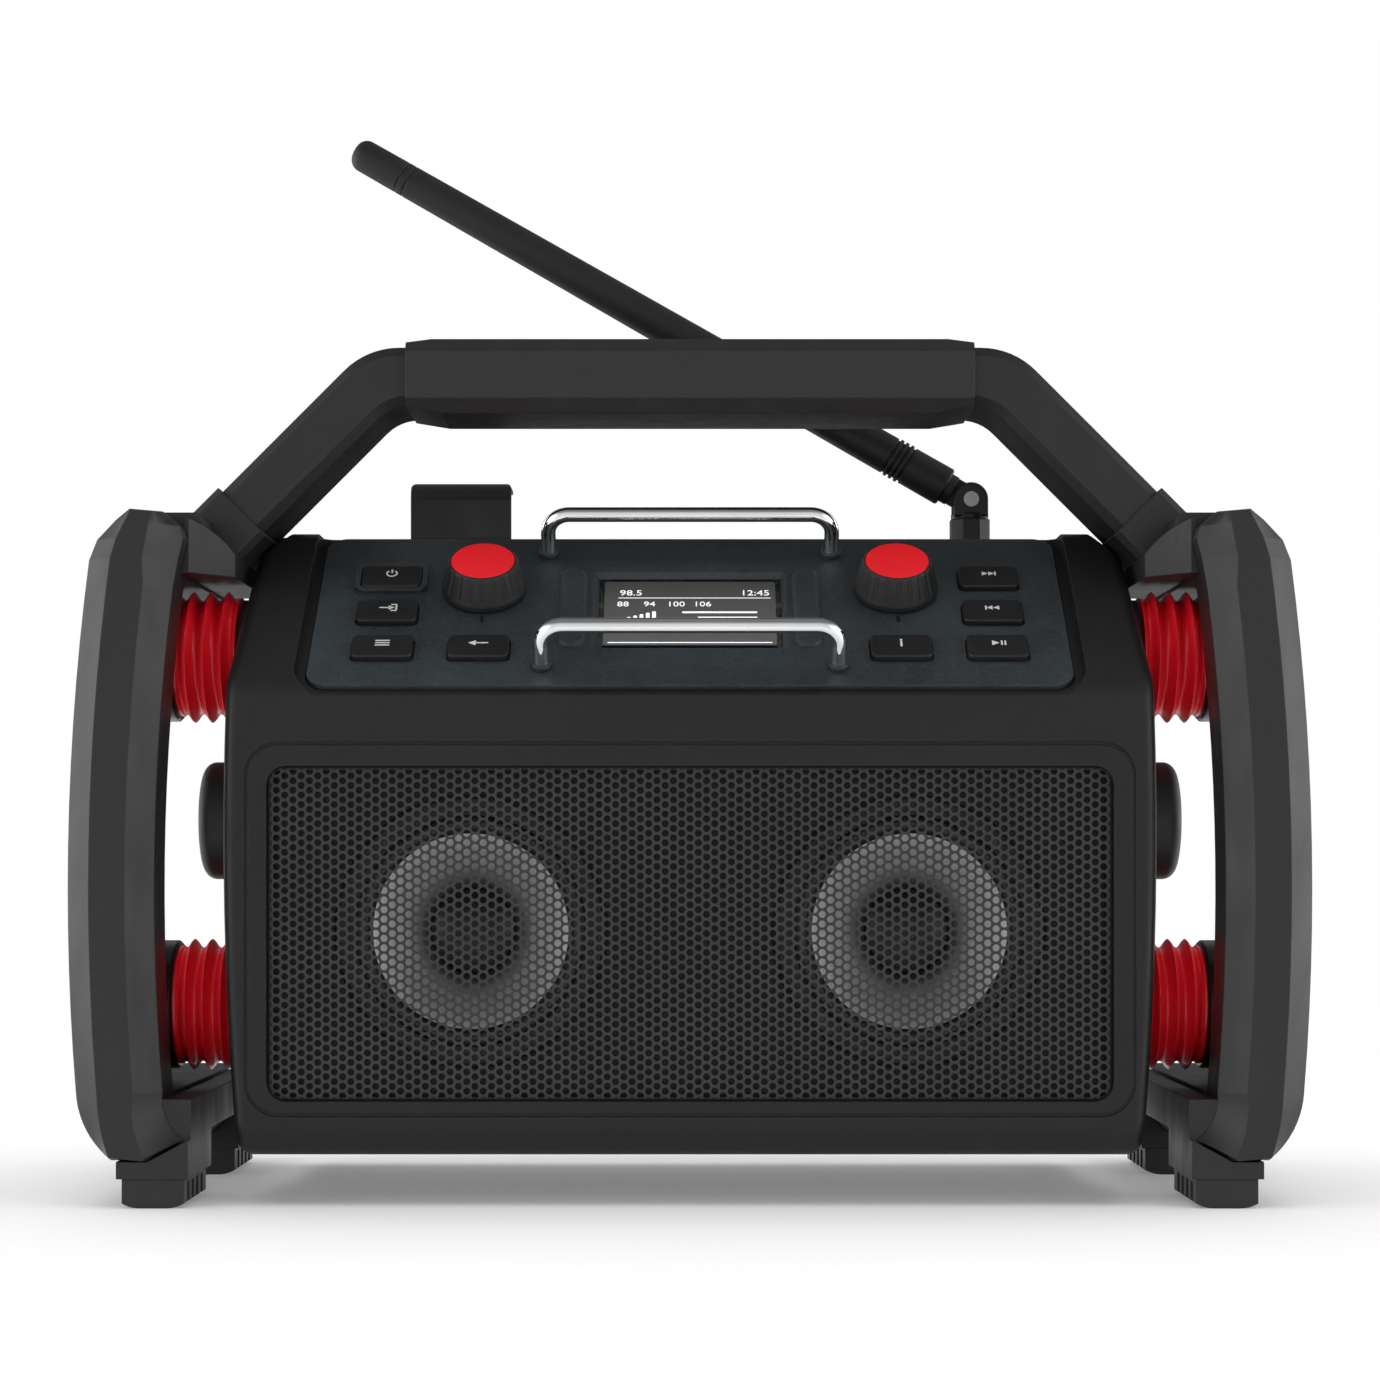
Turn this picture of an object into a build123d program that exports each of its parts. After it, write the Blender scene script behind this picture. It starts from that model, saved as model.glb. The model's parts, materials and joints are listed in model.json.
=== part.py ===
from build123d import *
import os
from math import atan, cos, degrees, radians, sin, sqrt, tan

# Jobsite radio: a housing slung between two side guards on rubber bellows.
# Millimetres, +Z up, the controls face -Y and +X is the user's right.
# The origin is on the floor, under the middle of the overall width and depth.

# ---------------------------------------------------------------- cutting pieces
# Cutters that halve the whole model reach this far; the others pass a face by the overcut.
cutter_reach = 400.0
overcut = 1.0

# ---------------------------------------------------------------- housing
housing_width = 288.6
housing_depth = 144.0
housing_front_y = -76.0
housing_bottom_z = 15.4
housing_wall = 3.5
housing_side_round = 4.0
housing_bow = 4.3
housing_shoulder_x_round = 10.0
housing_belly_round = 6.0
housing_front_round = 11.0
housing_brow_round = 12.0
housing_shoulder_round = 10.0
housing_rear_round = 12.0
split_y = 0.0
post_radius = 4.5
post_overlap = 1.5
post_length = 22.0
screw_radius = 1.55
screw_clearance = 0.1
screw_head_room = 10.0
housing_screw_head_radius = 3.0
housing_screw_head_height = 2.0
screw_tip_gap = 2.0
panel_slope = 38.87  # degrees
slope_foot_z = 162.7

# ---------------------------------------------------------------- control panel
cheek_width = 25.3
panel_height = 83.2
panel_corner = 6.5
panel_thickness = 3.0
panel_recess = 2.2
panel_groove = 3.6
panel_gap = 0.4
panel_ledge = 2.5
ledge_width = 6.0
deck_drop = 1.8
deck_front_y = -20.0
deck_rear_y = 18.0

# ---------------------------------------------------------------- keys
key_width = 19.2
key_height = 11.8
key_round = 2.0
key_stand = 2.0
key_flange = 1.0
key_flange_thickness = 1.2
key_length = 8.0
key_travel = 1.4
key_clearance = 0.3
key_side_margin = 22.6
key_column_pitch = 30.2
key_low_margin = 19.0
key_high_margin = 24.8
key_crown_round = 0.6
switch_side = 6.0
power_rim = 1.8
power_rim_height = 1.6

# ---------------------------------------------------------------- knobs
knob_margin = 30.7
knob_base_radius = 13.5
knob_top_radius = 11.2
knob_height = 11.6
knob_gap = 0.5
knob_flutes = 20
knob_flute_radius = 1.1
knob_flute_depth = 0.4
knob_flute_low = 3.5
knob_band = 1.6
knob_bevel = 0.8
knob_roof = 3.0
knob_cap_radius = 10.3
knob_cap_thickness = 1.4
knob_cap_clearance = 0.02
knob_cap_bevel = 0.3
shaft_end_gap = 0.2
encoder_side = 12.4
encoder_shaft_radius = 3.0
encoder_bore_clearance = 0.05
shaft_hole_clearance = 1.5

# ---------------------------------------------------------------- display
display_width = 58.6
display_height = 39.9
display_rise = 0.1
mound_x = 37.5
mound_width = 9.0
mound_length = 44.0
mound_height = 1.9
mound_round = 1.7
display_bevel = 1.6
window_thickness = 1.2
window_clearance = 0.05
module_thickness = 4.5
module_margin = 3.0
spacer_inset = 6.0
panel_drill_length = 20.0

# ---------------------------------------------------------------- boards
board_thickness = 1.6
key_board_margin = 6.6
key_board_corner = 4.0
main_board_width = 120.0
main_board_height = 90.0
main_board_low_z = 50.0

# ---------------------------------------------------------------- rails
rail_half_span = 46.2
rail_radius = 2.4
rail_height = 15.2
rail_bend = 7.0
rail_low_margin = 10.3
rail_high_margin = 9.1
rail_collar_radius = 2.9
rail_collar_thickness = 1.6
rail_collar_bevel = 0.3

# ---------------------------------------------------------------- speaker bay
bezel_side_margin = 6.8
bezel_height = 115.8
bezel_rise = 1.45
bezel_corner = 10.8
bezel_groove = 1.2
bezel_groove_depth = 0.8
bezel_rim = 6.8
grille_opening_height = 103.5
grille_corner = 6.2
grille_z = 84.35
grille_lip = 1.4
grille_sheet = 1.1
grille_depth = 4.3
grille_clearance = 0.3
bay_wall = 3.0
baffle_thickness = 3.0
basket_hole_clearance = 0.5
basket_groove_width = 1.5
basket_groove_depth = 1.2

# ---------------------------------------------------------------- speakers
speaker_set_out = 2.65
speaker_rise = 0.65
speaker_flange_radius = 41.0
speaker_flange_thickness = 1.6
speaker_basket_radius = 34.0
speaker_basket_depth = 20.0
speaker_neck_radius = 20.0
speaker_sheet = 1.6
surround_outer_radius = 36.0
surround_roll = 1.3
cone_clearance = 0.2
cone_radius = 30.3
cone_depth = 11.0
cone_thickness = 0.9
cap_radius = 13.4
cap_rise = 4.0
magnet_radius = 24.0
magnet_depth = 14.0
basket_window_width = 15.0
speaker_screw_circle = 38.6
speaker_screw_count = 4
screw_head_radius = 1.5
screw_head_height = 0.9

# ---------------------------------------------------------------- side guards
guard_front_y = -82.0
guard_rear_overhang = 14.0
guard_arm_set_in = 8.0
guard_gap = 11.7
guard_span = 36.0
guard_bow_radius = 785.0
guard_bow_z = 98.0
guard_width = 26.7
guard_face_inset = 7.8
guard_depth = 26.0
guard_chamfer_depth = 7.5
guard_top_rise = 0.5
guard_toe_z = 14.4
guard_brow_drop = 16.0
guard_inner_brow_drop = 24.8
guard_heel_rise = 21.0
guard_arm_height = 20.0
guard_corner_round = 12.0
guard_corner_inset = 9.0
lug_set_in = 19.65
lug_thickness = 7.0
lug_radius = 20.0
lug_overlap = 1.0
# Corners of the bar's front view: out from the guard's inner edge, down from its top.
guard_crown = (
    (26.9, 9.7),
    (21.1, 3.5),
    (16.9, 0.0),
    (6.6, 0.9),
    (1.4, 5.4),
    (0.3, 8.9),
    (2.0, 15.7),
)
guard_face_crown = (
    (19.6, 9.7),
    (16.6, 3.7),
    (15.5, 1.3),
    (8.7, 1.8),
    (9.8, 5.4),
    (10.6, 9.7),
    (11.8, 15.7),
)
# The same round the toe: inner bend, inner tip, sole from inside to outside, outer bend.
guard_toe = ((5.6, 13.0), (0.2, 6.4), (7.0, 0.2), (22.6, 0.0), (29.2, 7.4))
guard_face_toe = ((14.6, 12.0), (11.2, 1.2), (11.8, 0.4), (22.1, 1.4), (24.0, 8.0))

# ---------------------------------------------------------------- bellows
bellows_y = -25.0
bellows_low_z = 60.4
bellows_high_drop = 42.5
bellows_radius = 21.2
bellows_valley = 18.6
bellows_ridges = 3
bellows_neck = 1.95
bellows_seat_depth = 6.0
cup_radius = 20.8
cup_depth = 7.2
cup_bevel = 0.8

# ---------------------------------------------------------------- pucks
puck_z = 120.0
puck_radius = 19.0
puck_height = 13.0
puck_round = 4.0

# ---------------------------------------------------------------- handle
handle_front_y = -38.0
handle_depth = 38.0
handle_seat_rise = 4.4
handle_thickness = 18.7
handle_rise = 57.0
handle_bend = 25.0
handle_inner_bend = 15.0
handle_chamfer = 3.0
handle_end_drop = 4.5
grip_end_gap = 12.7
grip_wall = 2.6
grip_chamfer = 4.5
grip_top_slope = 8.2
grip_top_drop = 1.3
grip_low_slope = 11.5
grip_low_rise = 2.2
collar_start = 3.0
collar_length = 12.2
collar_chamfer = 2.2
collar_step = 1.5
leg_clearance = 1.0
socket_height = 18.9
socket_reach_in = 12.0
socket_side_height = 7.0
socket_bulge = 1.6
socket_root = 1.5
socket_bevel_depth = 15.5
socket_front_y = -66.0
socket_rear_y = 24.0

# ---------------------------------------------------------------- feet
foot_rail_set_in = 2.0
foot_rail_width = 22.1
foot_rail_wall = 8.0
foot_seam_rise = 6.6
foot_seam_width = 12.5
foot_rail_low_z = 9.1
foot_rail_high_z = 33.2
foot_rail_mid_z = 21.5
foot_inset = 1.5
foot_front_y = -80.0
foot_length = 45.0
foot_spacing = 103.0
foot_crown = 1.5
foot_crown_width = 5.5
foot_rib_stop = 1.5
foot_rib_count = 5
foot_rib_depth = 1.2

# ---------------------------------------------------------------- antenna
antenna_x = 96.0
antenna_set_in = 38.0
antenna_post_radius = 7.2
antenna_pivot_rise = 15.6
antenna_tilt = 29.7  # degrees
antenna_length = 243.0
whip_root_radius = 6.7
whip_tip_radius = 5.5
whip_neck_radius = 5.2
whip_neck_start = 6.9
sleeve_start = 9.5
whip_rib_places = (18.6, 208.0)
whip_rib_count = 3
whip_rib_pitch = 2.0
whip_rib_height = 0.3
whip_groove_depth = 0.6
whip_tip_bevel = 3.0
fork_gap = 5.0
fork_radius = 5.8
fork_base_height = 2.0
fork_base_inset = 0.8
fork_seat_gap = 0.1
tongue_inset = 1.2
tongue_clearance = 0.15
pivot_radius = 2.0
pivot_clearance = 0.05
pivot_head_radius = 2.6
pivot_head_height = 0.8
pivot_socket_radius = 1.2
pivot_socket_depth = 0.6

# ---------------------------------------------------------------- rear hook
hook_x = -81.0
hook_width = 35.4
hook_sheet = 3.0
hook_foot_length = 17.0
hook_set_in = 6.0
hook_height = 26.2
hook_lip = 12.0
hook_bend = 5.0
hook_corner = 2.2

# ---------------------------------------------------------------- battery bay
door_width = 110.0
door_height = 104.0
door_low_z = 44.0
door_thickness = 3.0
door_gap = 0.5
hinge_radius = 3.0
hinge_pin_radius = 1.8
hinge_clearance = 0.05
door_frame = 4.0
door_pull_radius = 4.2
door_pull_depth = 2.2
door_pull_drop = 10.0
hinge_pin_clearance = 0.4
bay_depth = 40.0
battery_gap = 0.3
battery_round = 4.0

# ---------------------------------------------------------------- power inlet
inlet_set_in = 48.0
inlet_z = 40.0
inlet_radius = 6.0
inlet_bore_radius = 3.2
inlet_pin_radius = 1.0
inlet_depth = 14.0
inlet_floor = 4.0
inlet_rim = 0.8
inlet_pin_drop = 2.0

# ---------------------------------------------------------------- derived places
housing_rear_y = housing_front_y + housing_depth
housing_side_x = housing_width / 2
slope_rise = sin(radians(panel_slope))
slope_run = cos(radians(panel_slope))
panel_width = housing_width - 2 * cheek_width
panel_top_z = slope_foot_z - panel_recess * slope_run + panel_height * slope_rise
housing_top_z = panel_top_z + deck_drop
panel_plane = Plane(
    origin=(
        0,
        housing_front_y + panel_recess * slope_rise,
        slope_foot_z - panel_recess * slope_run,
    ),
    x_dir=(1, 0, 0),
    z_dir=(0, -slope_rise, slope_run),
)
panel_mid_s = panel_height / 2
display_s = panel_mid_s + display_rise
knob_s = panel_height - knob_margin
key_column_x = panel_width / 2 - key_side_margin
key_inner_x = key_column_x - key_column_pitch
knob_x = key_inner_x
key_pitch = (panel_height - key_low_margin - key_high_margin) / 2
key_rows = [key_low_margin + row * key_pitch for row in range(3)]
rail_rows = (rail_low_margin, panel_height - rail_high_margin)
bezel_width = housing_width - 2 * bezel_side_margin
bezel_z = grille_z + bezel_rise
grille_opening_width = bezel_width - 2 * bezel_rim
speaker_x = grille_opening_width / 4 + speaker_set_out
speaker_z = grille_z + speaker_rise
board_top_w = -(panel_thickness + key_length - key_stand)
baffle_front_y = housing_front_y + housing_wall + grille_depth
guard_rear_y = housing_rear_y + guard_rear_overhang
guard_arm_rear_y = housing_rear_y - guard_arm_set_in
guard_top_z = housing_top_z + guard_top_rise
guard_inner_x = housing_side_x + guard_gap
guard_reach_x = guard_inner_x + guard_span
guard_bow_x = guard_reach_x - guard_bow_radius
lug_inner_x = guard_reach_x - lug_set_in
cup_inner_x = lug_inner_x - cup_depth
bellows_pitch = (cup_inner_x - housing_side_x - 2 * bellows_neck) / bellows_ridges
bellows_z = (bellows_low_z, guard_top_z - bellows_high_drop)
rail_inner_x = guard_inner_x - foot_rail_set_in
rail_outer_x = rail_inner_x + foot_rail_width
socket_inner_x = guard_inner_x - socket_reach_in
socket_low_z = guard_top_z - socket_height
handle_top_z = housing_top_z + handle_rise
handle_outer_sum = guard_inner_x + guard_top_z + handle_seat_rise
handle_end_offset = guard_top_z - guard_inner_x - handle_end_drop
grip_length = 2 * (handle_outer_sum - handle_top_z - grip_end_gap)
antenna_y = housing_rear_y - antenna_set_in
antenna_pivot_z = housing_top_z + antenna_pivot_rise
hook_stand_y = housing_rear_y - hook_set_in
hook_front_y = hook_stand_y - hook_foot_length
hook_top_z = housing_top_z + hook_height
nodes = {}


def on_panel(x, s, w):
    """Location on the sloping panel: x across, s up the slope, w out of its surface."""
    return panel_plane.location * Pos(x, s, w)


def slab_y(outline, low_y, high_y):
    """Solid between two depths from an outline drawn in X and Z."""
    return extrude(Plane.XZ.offset(-high_y) * outline, amount=high_y - low_y)


def slab_x(outline, low_x, high_x):
    """Solid between two sides from an outline drawn in Y and Z."""
    return extrude(Plane.YZ.offset(low_x) * outline, amount=high_x - low_x)


def block(low, high):
    """Box from its lowest to its highest corner."""
    size = [b - a for a, b in zip(low, high)]
    middle = [(a + b) / 2 for a, b in zip(low, high)]
    return Pos(*middle) * Box(*size)


def ring_y(outline, x, z):
    """Revolve an outline of (radius, y) points about an axis along Y through x, z."""
    face = Plane.XY * make_face(Polyline(*outline, close=True))
    return Pos(x, 0, z) * revolve(face, Axis.Y)


def disc_x(outline, y, z):
    """Revolve an outline of (x, radius) points about an axis along X through y, z."""
    face = make_face(Polyline(*outline, close=True))
    return Pos(0, y, z) * revolve(face, Axis.X)


def mirrored(shape):
    """The same piece for the other side of the radio."""
    return mirror(shape, about=Plane.YZ)


def keep(name, shape):
    """Store one node under its name."""
    nodes[name] = shape


def keep_pair(name, right_shape):
    """Store a right-hand piece and its mirrored left-hand twin."""
    keep("right_" + name, right_shape)
    keep("left_" + name, mirrored(right_shape))


# ---------------------------------------------------------------- housing shells
def housing_profile(inset):
    """Side view of the housing in Y and Z, inset from the outer surface."""
    slope_length_y = (housing_top_z - slope_foot_z) / tan(radians(panel_slope))
    corners = [
        (housing_front_y, housing_bottom_z),
        (housing_front_y, slope_foot_z),
        (housing_front_y + slope_length_y, housing_top_z),
        (housing_rear_y, housing_top_z),
        (housing_rear_y, housing_bottom_z),
    ]
    rounds = [
        housing_front_round,
        housing_brow_round,
        housing_shoulder_round,
        housing_rear_round,
        housing_rear_round,
    ]
    face = make_face(Polyline(*corners, close=True))
    for corner, radius in zip(corners, rounds):
        nearest = face.vertices().sort_by_distance((corner[0], corner[1], 0))[0]
        face = fillet(nearest, radius)
    return offset(face, amount=-inset) if inset else face


def side_bow_x(z, inset):
    """How far out the bowed side wall of the housing stands at a height."""
    half_height = (housing_top_z - housing_bottom_z) / 2
    bow_radius = (half_height**2 + housing_bow**2) / (2 * housing_bow)
    rise = z - (housing_top_z + housing_bottom_z) / 2
    return housing_side_x - inset - bow_radius + sqrt(bow_radius**2 - rise**2)


def housing_front_outline(inset, margin):
    """Front view of the housing with bowed sides, taller by a margin at both ends."""
    low_z = housing_bottom_z + inset - margin
    high_z = housing_top_z - inset + margin
    middle_z = (low_z + high_z) / 2
    low_x = side_bow_x(low_z, inset)
    high_x = side_bow_x(high_z, inset)
    widest = side_bow_x(middle_z, inset)
    return make_face(
        Line((-low_x, low_z), (low_x, low_z))
        + ThreePointArc((low_x, low_z), (widest, middle_z), (high_x, high_z))
        + Line((high_x, high_z), (-high_x, high_z))
        + ThreePointArc((-high_x, high_z), (-widest, middle_z), (-low_x, low_z))
    )


def housing_body(inset):
    """Closed body of the housing, inset from the outer surface."""
    body = slab_x(housing_profile(inset), -housing_width, housing_width)
    bowed = housing_front_outline(inset, housing_wall)
    body = body & slab_y(bowed, housing_front_y - overcut, housing_rear_y + overcut)
    rim_round = housing_side_round - inset
    if rim_round > 1:
        body = fillet(body.edges() - body.edges().filter_by(Axis.X), rim_round)
    rounded = housing_front_outline(inset, 0)
    for x in (-housing_side_x, housing_side_x):
        for z, radius in (
            (housing_bottom_z, housing_belly_round),
            (housing_top_z, housing_shoulder_x_round),
        ):
            corner = rounded.vertices().sort_by_distance((x, z, 0))[0]
            rounded = fillet(corner, radius - inset)
    return body & slab_y(rounded, housing_front_y - overcut, housing_rear_y + overcut)


def panel_outline(grow):
    """Rounded panel outline, grown all round."""
    return RectangleRounded(
        panel_width + 2 * grow, panel_height + 2 * grow, panel_corner + grow
    )


def panel_slab(grow, low_w, high_w):
    """The panel outline as a slab between two heights over the panel surface."""
    return on_panel(0, panel_mid_s, low_w) * extrude(
        panel_outline(grow), amount=high_w - low_w
    )


def bay_outline(grow):
    """Rounded speaker opening, grown all round."""
    return Pos(0, grille_z) * RectangleRounded(
        grille_opening_width + 2 * grow,
        grille_opening_height + 2 * grow,
        grille_corner + max(grow, 0),
    )


def screw_post_places():
    """Middle of each housing screw post, as x and z."""
    inset = housing_wall + post_radius - post_overlap
    post_x = housing_side_x - housing_bow - inset
    for x in (-post_x, post_x):
        yield x, housing_bottom_z + inset + housing_belly_round / 2
        yield x, housing_top_z - inset - housing_shoulder_x_round


def make_shell():
    """Hollow shell of the housing with the panel ledge, the deck and its seats."""
    outer = housing_body(0)
    shell = outer - housing_body(housing_wall)
    ledge_low_w = -(panel_thickness + panel_ledge)
    ledge = panel_slab(panel_groove + ledge_width / 2, ledge_low_w, panel_recess)
    shell += ledge & outer
    shell -= panel_slab(panel_groove, -panel_thickness / 2, housing_depth)
    shell -= panel_slab(panel_gap, -panel_thickness, housing_depth)
    shell -= panel_slab(-ledge_width, ledge_low_w - overcut, 0)
    shell -= block(
        (-panel_width / 2 - panel_groove, deck_front_y, housing_top_z - deck_drop),
        (panel_width / 2 + panel_groove, deck_rear_y, housing_top_z + overcut),
    )
    for z in bellows_z:
        for side in (-1, 1):
            seat_x = side * (housing_side_x - bellows_seat_depth / 2)
            seat = Rot(0, 90, 0) * Cylinder(bellows_valley, bellows_seat_depth)
            shell += Pos(seat_x, bellows_y, z) * seat
    leg_relief = slab_y(
        handle_outline(leg_clearance + collar_step, handle_end_offset - 2 * collar_start),
        handle_front_y - collar_step - leg_clearance,
        handle_front_y + handle_depth + collar_step + leg_clearance,
    )
    return shell - leg_relief


def cut_speaker_bay(front):
    """Front shell with the bay for the grille, its bezel line and the baffle's holes."""
    mouth_y = housing_front_y - overcut
    front += slab_y(
        bay_outline(grille_lip + bay_wall),
        housing_front_y + housing_wall / 2,
        baffle_front_y + baffle_thickness,
    )
    front -= slab_y(bay_outline(0), mouth_y, baffle_front_y)
    front -= slab_y(bay_outline(grille_lip), housing_front_y + housing_wall, baffle_front_y)
    line = RectangleRounded(bezel_width, bezel_height, bezel_corner)
    line -= RectangleRounded(
        bezel_width - 2 * bezel_groove, bezel_height - 2 * bezel_groove, bezel_corner - bezel_groove
    )
    front -= slab_y(Pos(0, bezel_z) * line, mouth_y, housing_front_y + bezel_groove_depth)
    hole = Circle(speaker_basket_radius + basket_hole_clearance)
    groove = Circle(speaker_flange_radius + basket_groove_width) - Circle(speaker_flange_radius)
    for x in (-speaker_x, speaker_x):
        place = Pos(x, speaker_z)
        front -= slab_y(
            place * hole, baffle_front_y - overcut, baffle_front_y + baffle_thickness + overcut
        )
        front -= slab_y(
            place * groove, baffle_front_y - overcut, baffle_front_y + basket_groove_depth
        )
    return front


def join_with_screws(front, rear):
    """Both shells with their screw posts; the four screws are kept as one node."""
    outer = housing_body(0)
    head_y = housing_rear_y - screw_head_room
    post_y = split_y - post_length
    hole_y = post_y + housing_wall
    screws = []
    for x, z in screw_post_places():
        middle = Pos(x, z)
        hole = middle * Circle(screw_radius + screw_clearance)
        head_hole = middle * Circle(housing_screw_head_radius + screw_clearance)
        front += slab_y(middle * Circle(post_radius), post_y, split_y) & outer
        front -= slab_y(hole, hole_y, split_y)
        rear += slab_y(middle * Circle(post_radius), split_y, housing_rear_y) & outer
        rear -= slab_y(hole, split_y, housing_rear_y + overcut)
        rear -= slab_y(head_hole, head_y, housing_rear_y + overcut)
        screw = slab_y(middle * Circle(screw_radius), hole_y + screw_tip_gap, head_y)
        screw += slab_y(
            middle * Circle(housing_screw_head_radius), head_y, head_y + housing_screw_head_height
        )
        screws.append(screw)
    keep("housing_screws", Compound(children=screws))
    return front, rear


def cut_battery_bay(rear):
    """Rear shell with the box for the battery and the room for its hinged door."""
    half = door_width / 2
    low, high = door_low_z, door_low_z + door_height
    floor_y = housing_rear_y - bay_depth
    rear += block(
        (-half - bay_wall, floor_y - bay_wall, low - bay_wall),
        (half + bay_wall, housing_rear_y - housing_wall, high + bay_wall),
    )
    rear -= block(
        (-half - door_gap, housing_rear_y - door_thickness, low - door_gap),
        (half + door_gap, housing_rear_y + overcut, high + door_gap),
    )
    rear -= block(
        (-half + door_frame, floor_y, low + 2 * hinge_radius + 2 * door_gap),
        (half - door_frame, housing_rear_y, high - door_frame),
    )
    hinge = Pos(housing_rear_y - hinge_radius, low + hinge_radius)
    rear -= slab_x(hinge * Circle(hinge_radius + door_gap), -half - door_gap, half + door_gap)
    rear -= slab_x(
        hinge * Circle(hinge_pin_radius + hinge_clearance), -half - bay_wall, half + bay_wall
    )
    return rear


def make_battery_door():
    """Hinged door with its pins and finger pull, and the battery behind it."""
    half = door_width / 2
    low, high = door_low_z, door_low_z + door_height
    inner_y = housing_rear_y - door_thickness
    pin_end = half + bay_wall - hinge_pin_clearance
    hinge = Pos(housing_rear_y - hinge_radius, low + hinge_radius)
    door = block((-half, inner_y, low + hinge_radius), (half, housing_rear_y, high))
    pull_place = Pos(housing_rear_y + door_pull_radius - door_pull_depth, high - door_pull_drop)
    door -= slab_x(pull_place * Circle(door_pull_radius), -door_width / 8, door_width / 8)
    door += slab_x(hinge * Circle(hinge_radius), -half, half)
    door += slab_x(hinge * Circle(hinge_pin_radius), -pin_end, pin_end)
    keep("battery_door", door)
    side_x = half - door_frame - battery_gap
    battery = block(
        (
            -side_x,
            housing_rear_y - bay_depth + battery_gap,
            low + 2 * hinge_radius + 2 * door_gap + battery_gap,
        ),
        (side_x, inner_y - battery_gap, high - door_frame - battery_gap),
    )
    keep("battery_pack", fillet(battery.edges().filter_by(Axis.Y), battery_round))


def make_housing():
    """Front and rear shells of the housing, and what joins and closes them."""
    shell = make_shell()
    front_room = block(
        (-cutter_reach, -cutter_reach, -cutter_reach), (cutter_reach, split_y, cutter_reach)
    )
    front = cut_speaker_bay(shell & front_room)
    front, rear = join_with_screws(front, shell - front_room)
    keep("front_housing", front)
    keep("rear_housing", cut_battery_bay(rear))
    make_battery_door()


# ---------------------------------------------------------------- control panel
def key_layout():
    """Each key's name with its place across and up the panel."""
    low, middle, high = key_rows
    return {
        "power_key": (-key_column_x, high),
        "source_key": (-key_column_x, middle),
        "menu_key": (-key_column_x, low),
        "back_key": (-key_inner_x, low),
        "info_key": (key_inner_x, low),
        "next_key": (key_column_x, high),
        "previous_key": (key_column_x, middle),
        "play_key": (key_column_x, low),
    }


def make_keys(plate):
    """Panel plate with its key holes; each key is kept as a node of its own."""
    rim = RectangleRounded(
        key_width + 2 * (key_clearance + power_rim),
        key_height + 2 * (key_clearance + power_rim),
        key_round + power_rim,
    )
    hole = RectangleRounded(
        key_width + 2 * key_clearance, key_height + 2 * key_clearance, key_round
    )
    cap = RectangleRounded(key_width, key_height, key_round)
    foot = RectangleRounded(
        key_width + 2 * key_flange, key_height + 2 * key_flange, key_round + key_flange
    )
    foot_low_w = -panel_thickness - key_clearance - key_flange_thickness
    x, s = key_layout()["power_key"]
    plate += on_panel(x, s, -panel_thickness / 2) * extrude(
        rim, amount=panel_thickness / 2 + power_rim_height
    )
    for name, (x, s) in key_layout().items():
        plate -= on_panel(x, s, -panel_thickness - overcut) * extrude(
            hole, amount=panel_drill_length
        )
        key = on_panel(x, s, key_stand - key_length) * extrude(cap, amount=key_length)
        crown = key.faces().sort_by(Axis(panel_plane.origin, panel_plane.z_dir))[-1]
        key = fillet(crown.edges(), key_crown_round)
        key += on_panel(x, s, foot_low_w) * extrude(foot, amount=key_flange_thickness)
        keep(name, key)
    return plate


def make_display(plate):
    """Panel plate with the bevelled display opening; window and module are kept."""
    opening = Rectangle(display_width, display_height)
    plate -= on_panel(0, display_s, -panel_thickness - overcut) * extrude(
        opening, amount=panel_drill_length
    )
    bevel_low = on_panel(0, display_s, -display_bevel) * opening
    bevel_top = on_panel(0, display_s, 0) * Rectangle(
        display_width + 2 * display_bevel, display_height + 2 * display_bevel
    )
    plate -= loft([bevel_low.face(), bevel_top.face()])
    window = Rectangle(display_width - 2 * window_clearance, display_height - 2 * window_clearance)
    keep(
        "display_window",
        on_panel(0, display_s, -panel_thickness) * extrude(window, amount=window_thickness),
    )
    keep(
        "display_module",
        on_panel(0, display_s, -panel_thickness - module_thickness / 2)
        * Box(
            display_width + 2 * module_margin, display_height + 2 * module_margin, module_thickness
        ),
    )
    return plate


def make_key_board():
    """Board under the panel with a switch below each key and the display's spacer."""
    outline = RectangleRounded(
        panel_width - 2 * key_board_margin, panel_height - 2 * key_board_margin, key_board_corner
    )
    board = on_panel(0, panel_mid_s, board_top_w - board_thickness) * extrude(
        outline, amount=board_thickness
    )
    switch_height = panel_thickness - key_travel - key_clearance
    switch = Box(switch_side, switch_side, switch_height)
    for x, s in key_layout().values():
        board += on_panel(x, s, board_top_w + switch_height / 2) * switch
    spacer_height = -(panel_thickness + module_thickness) - board_top_w
    board += on_panel(0, display_s, board_top_w + spacer_height / 2) * Box(
        display_width - 2 * spacer_inset, display_height - 2 * spacer_inset, spacer_height
    )
    keep("key_board", board)


def make_encoders():
    """The rotary encoders under both knobs: a square body with a round shaft."""
    encoders = []
    body_height = -panel_thickness - board_top_w
    shaft_length = panel_thickness + knob_height - knob_roof
    for x in (-knob_x, knob_x):
        body = on_panel(x, knob_s, board_top_w + body_height / 2) * Box(
            encoder_side, encoder_side, body_height
        )
        shaft = on_panel(x, knob_s, -panel_thickness + shaft_length / 2) * Cylinder(
            encoder_shaft_radius, shaft_length
        )
        encoders.append(body + shaft)
    keep("knob_encoders", Compound(children=encoders))


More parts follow.
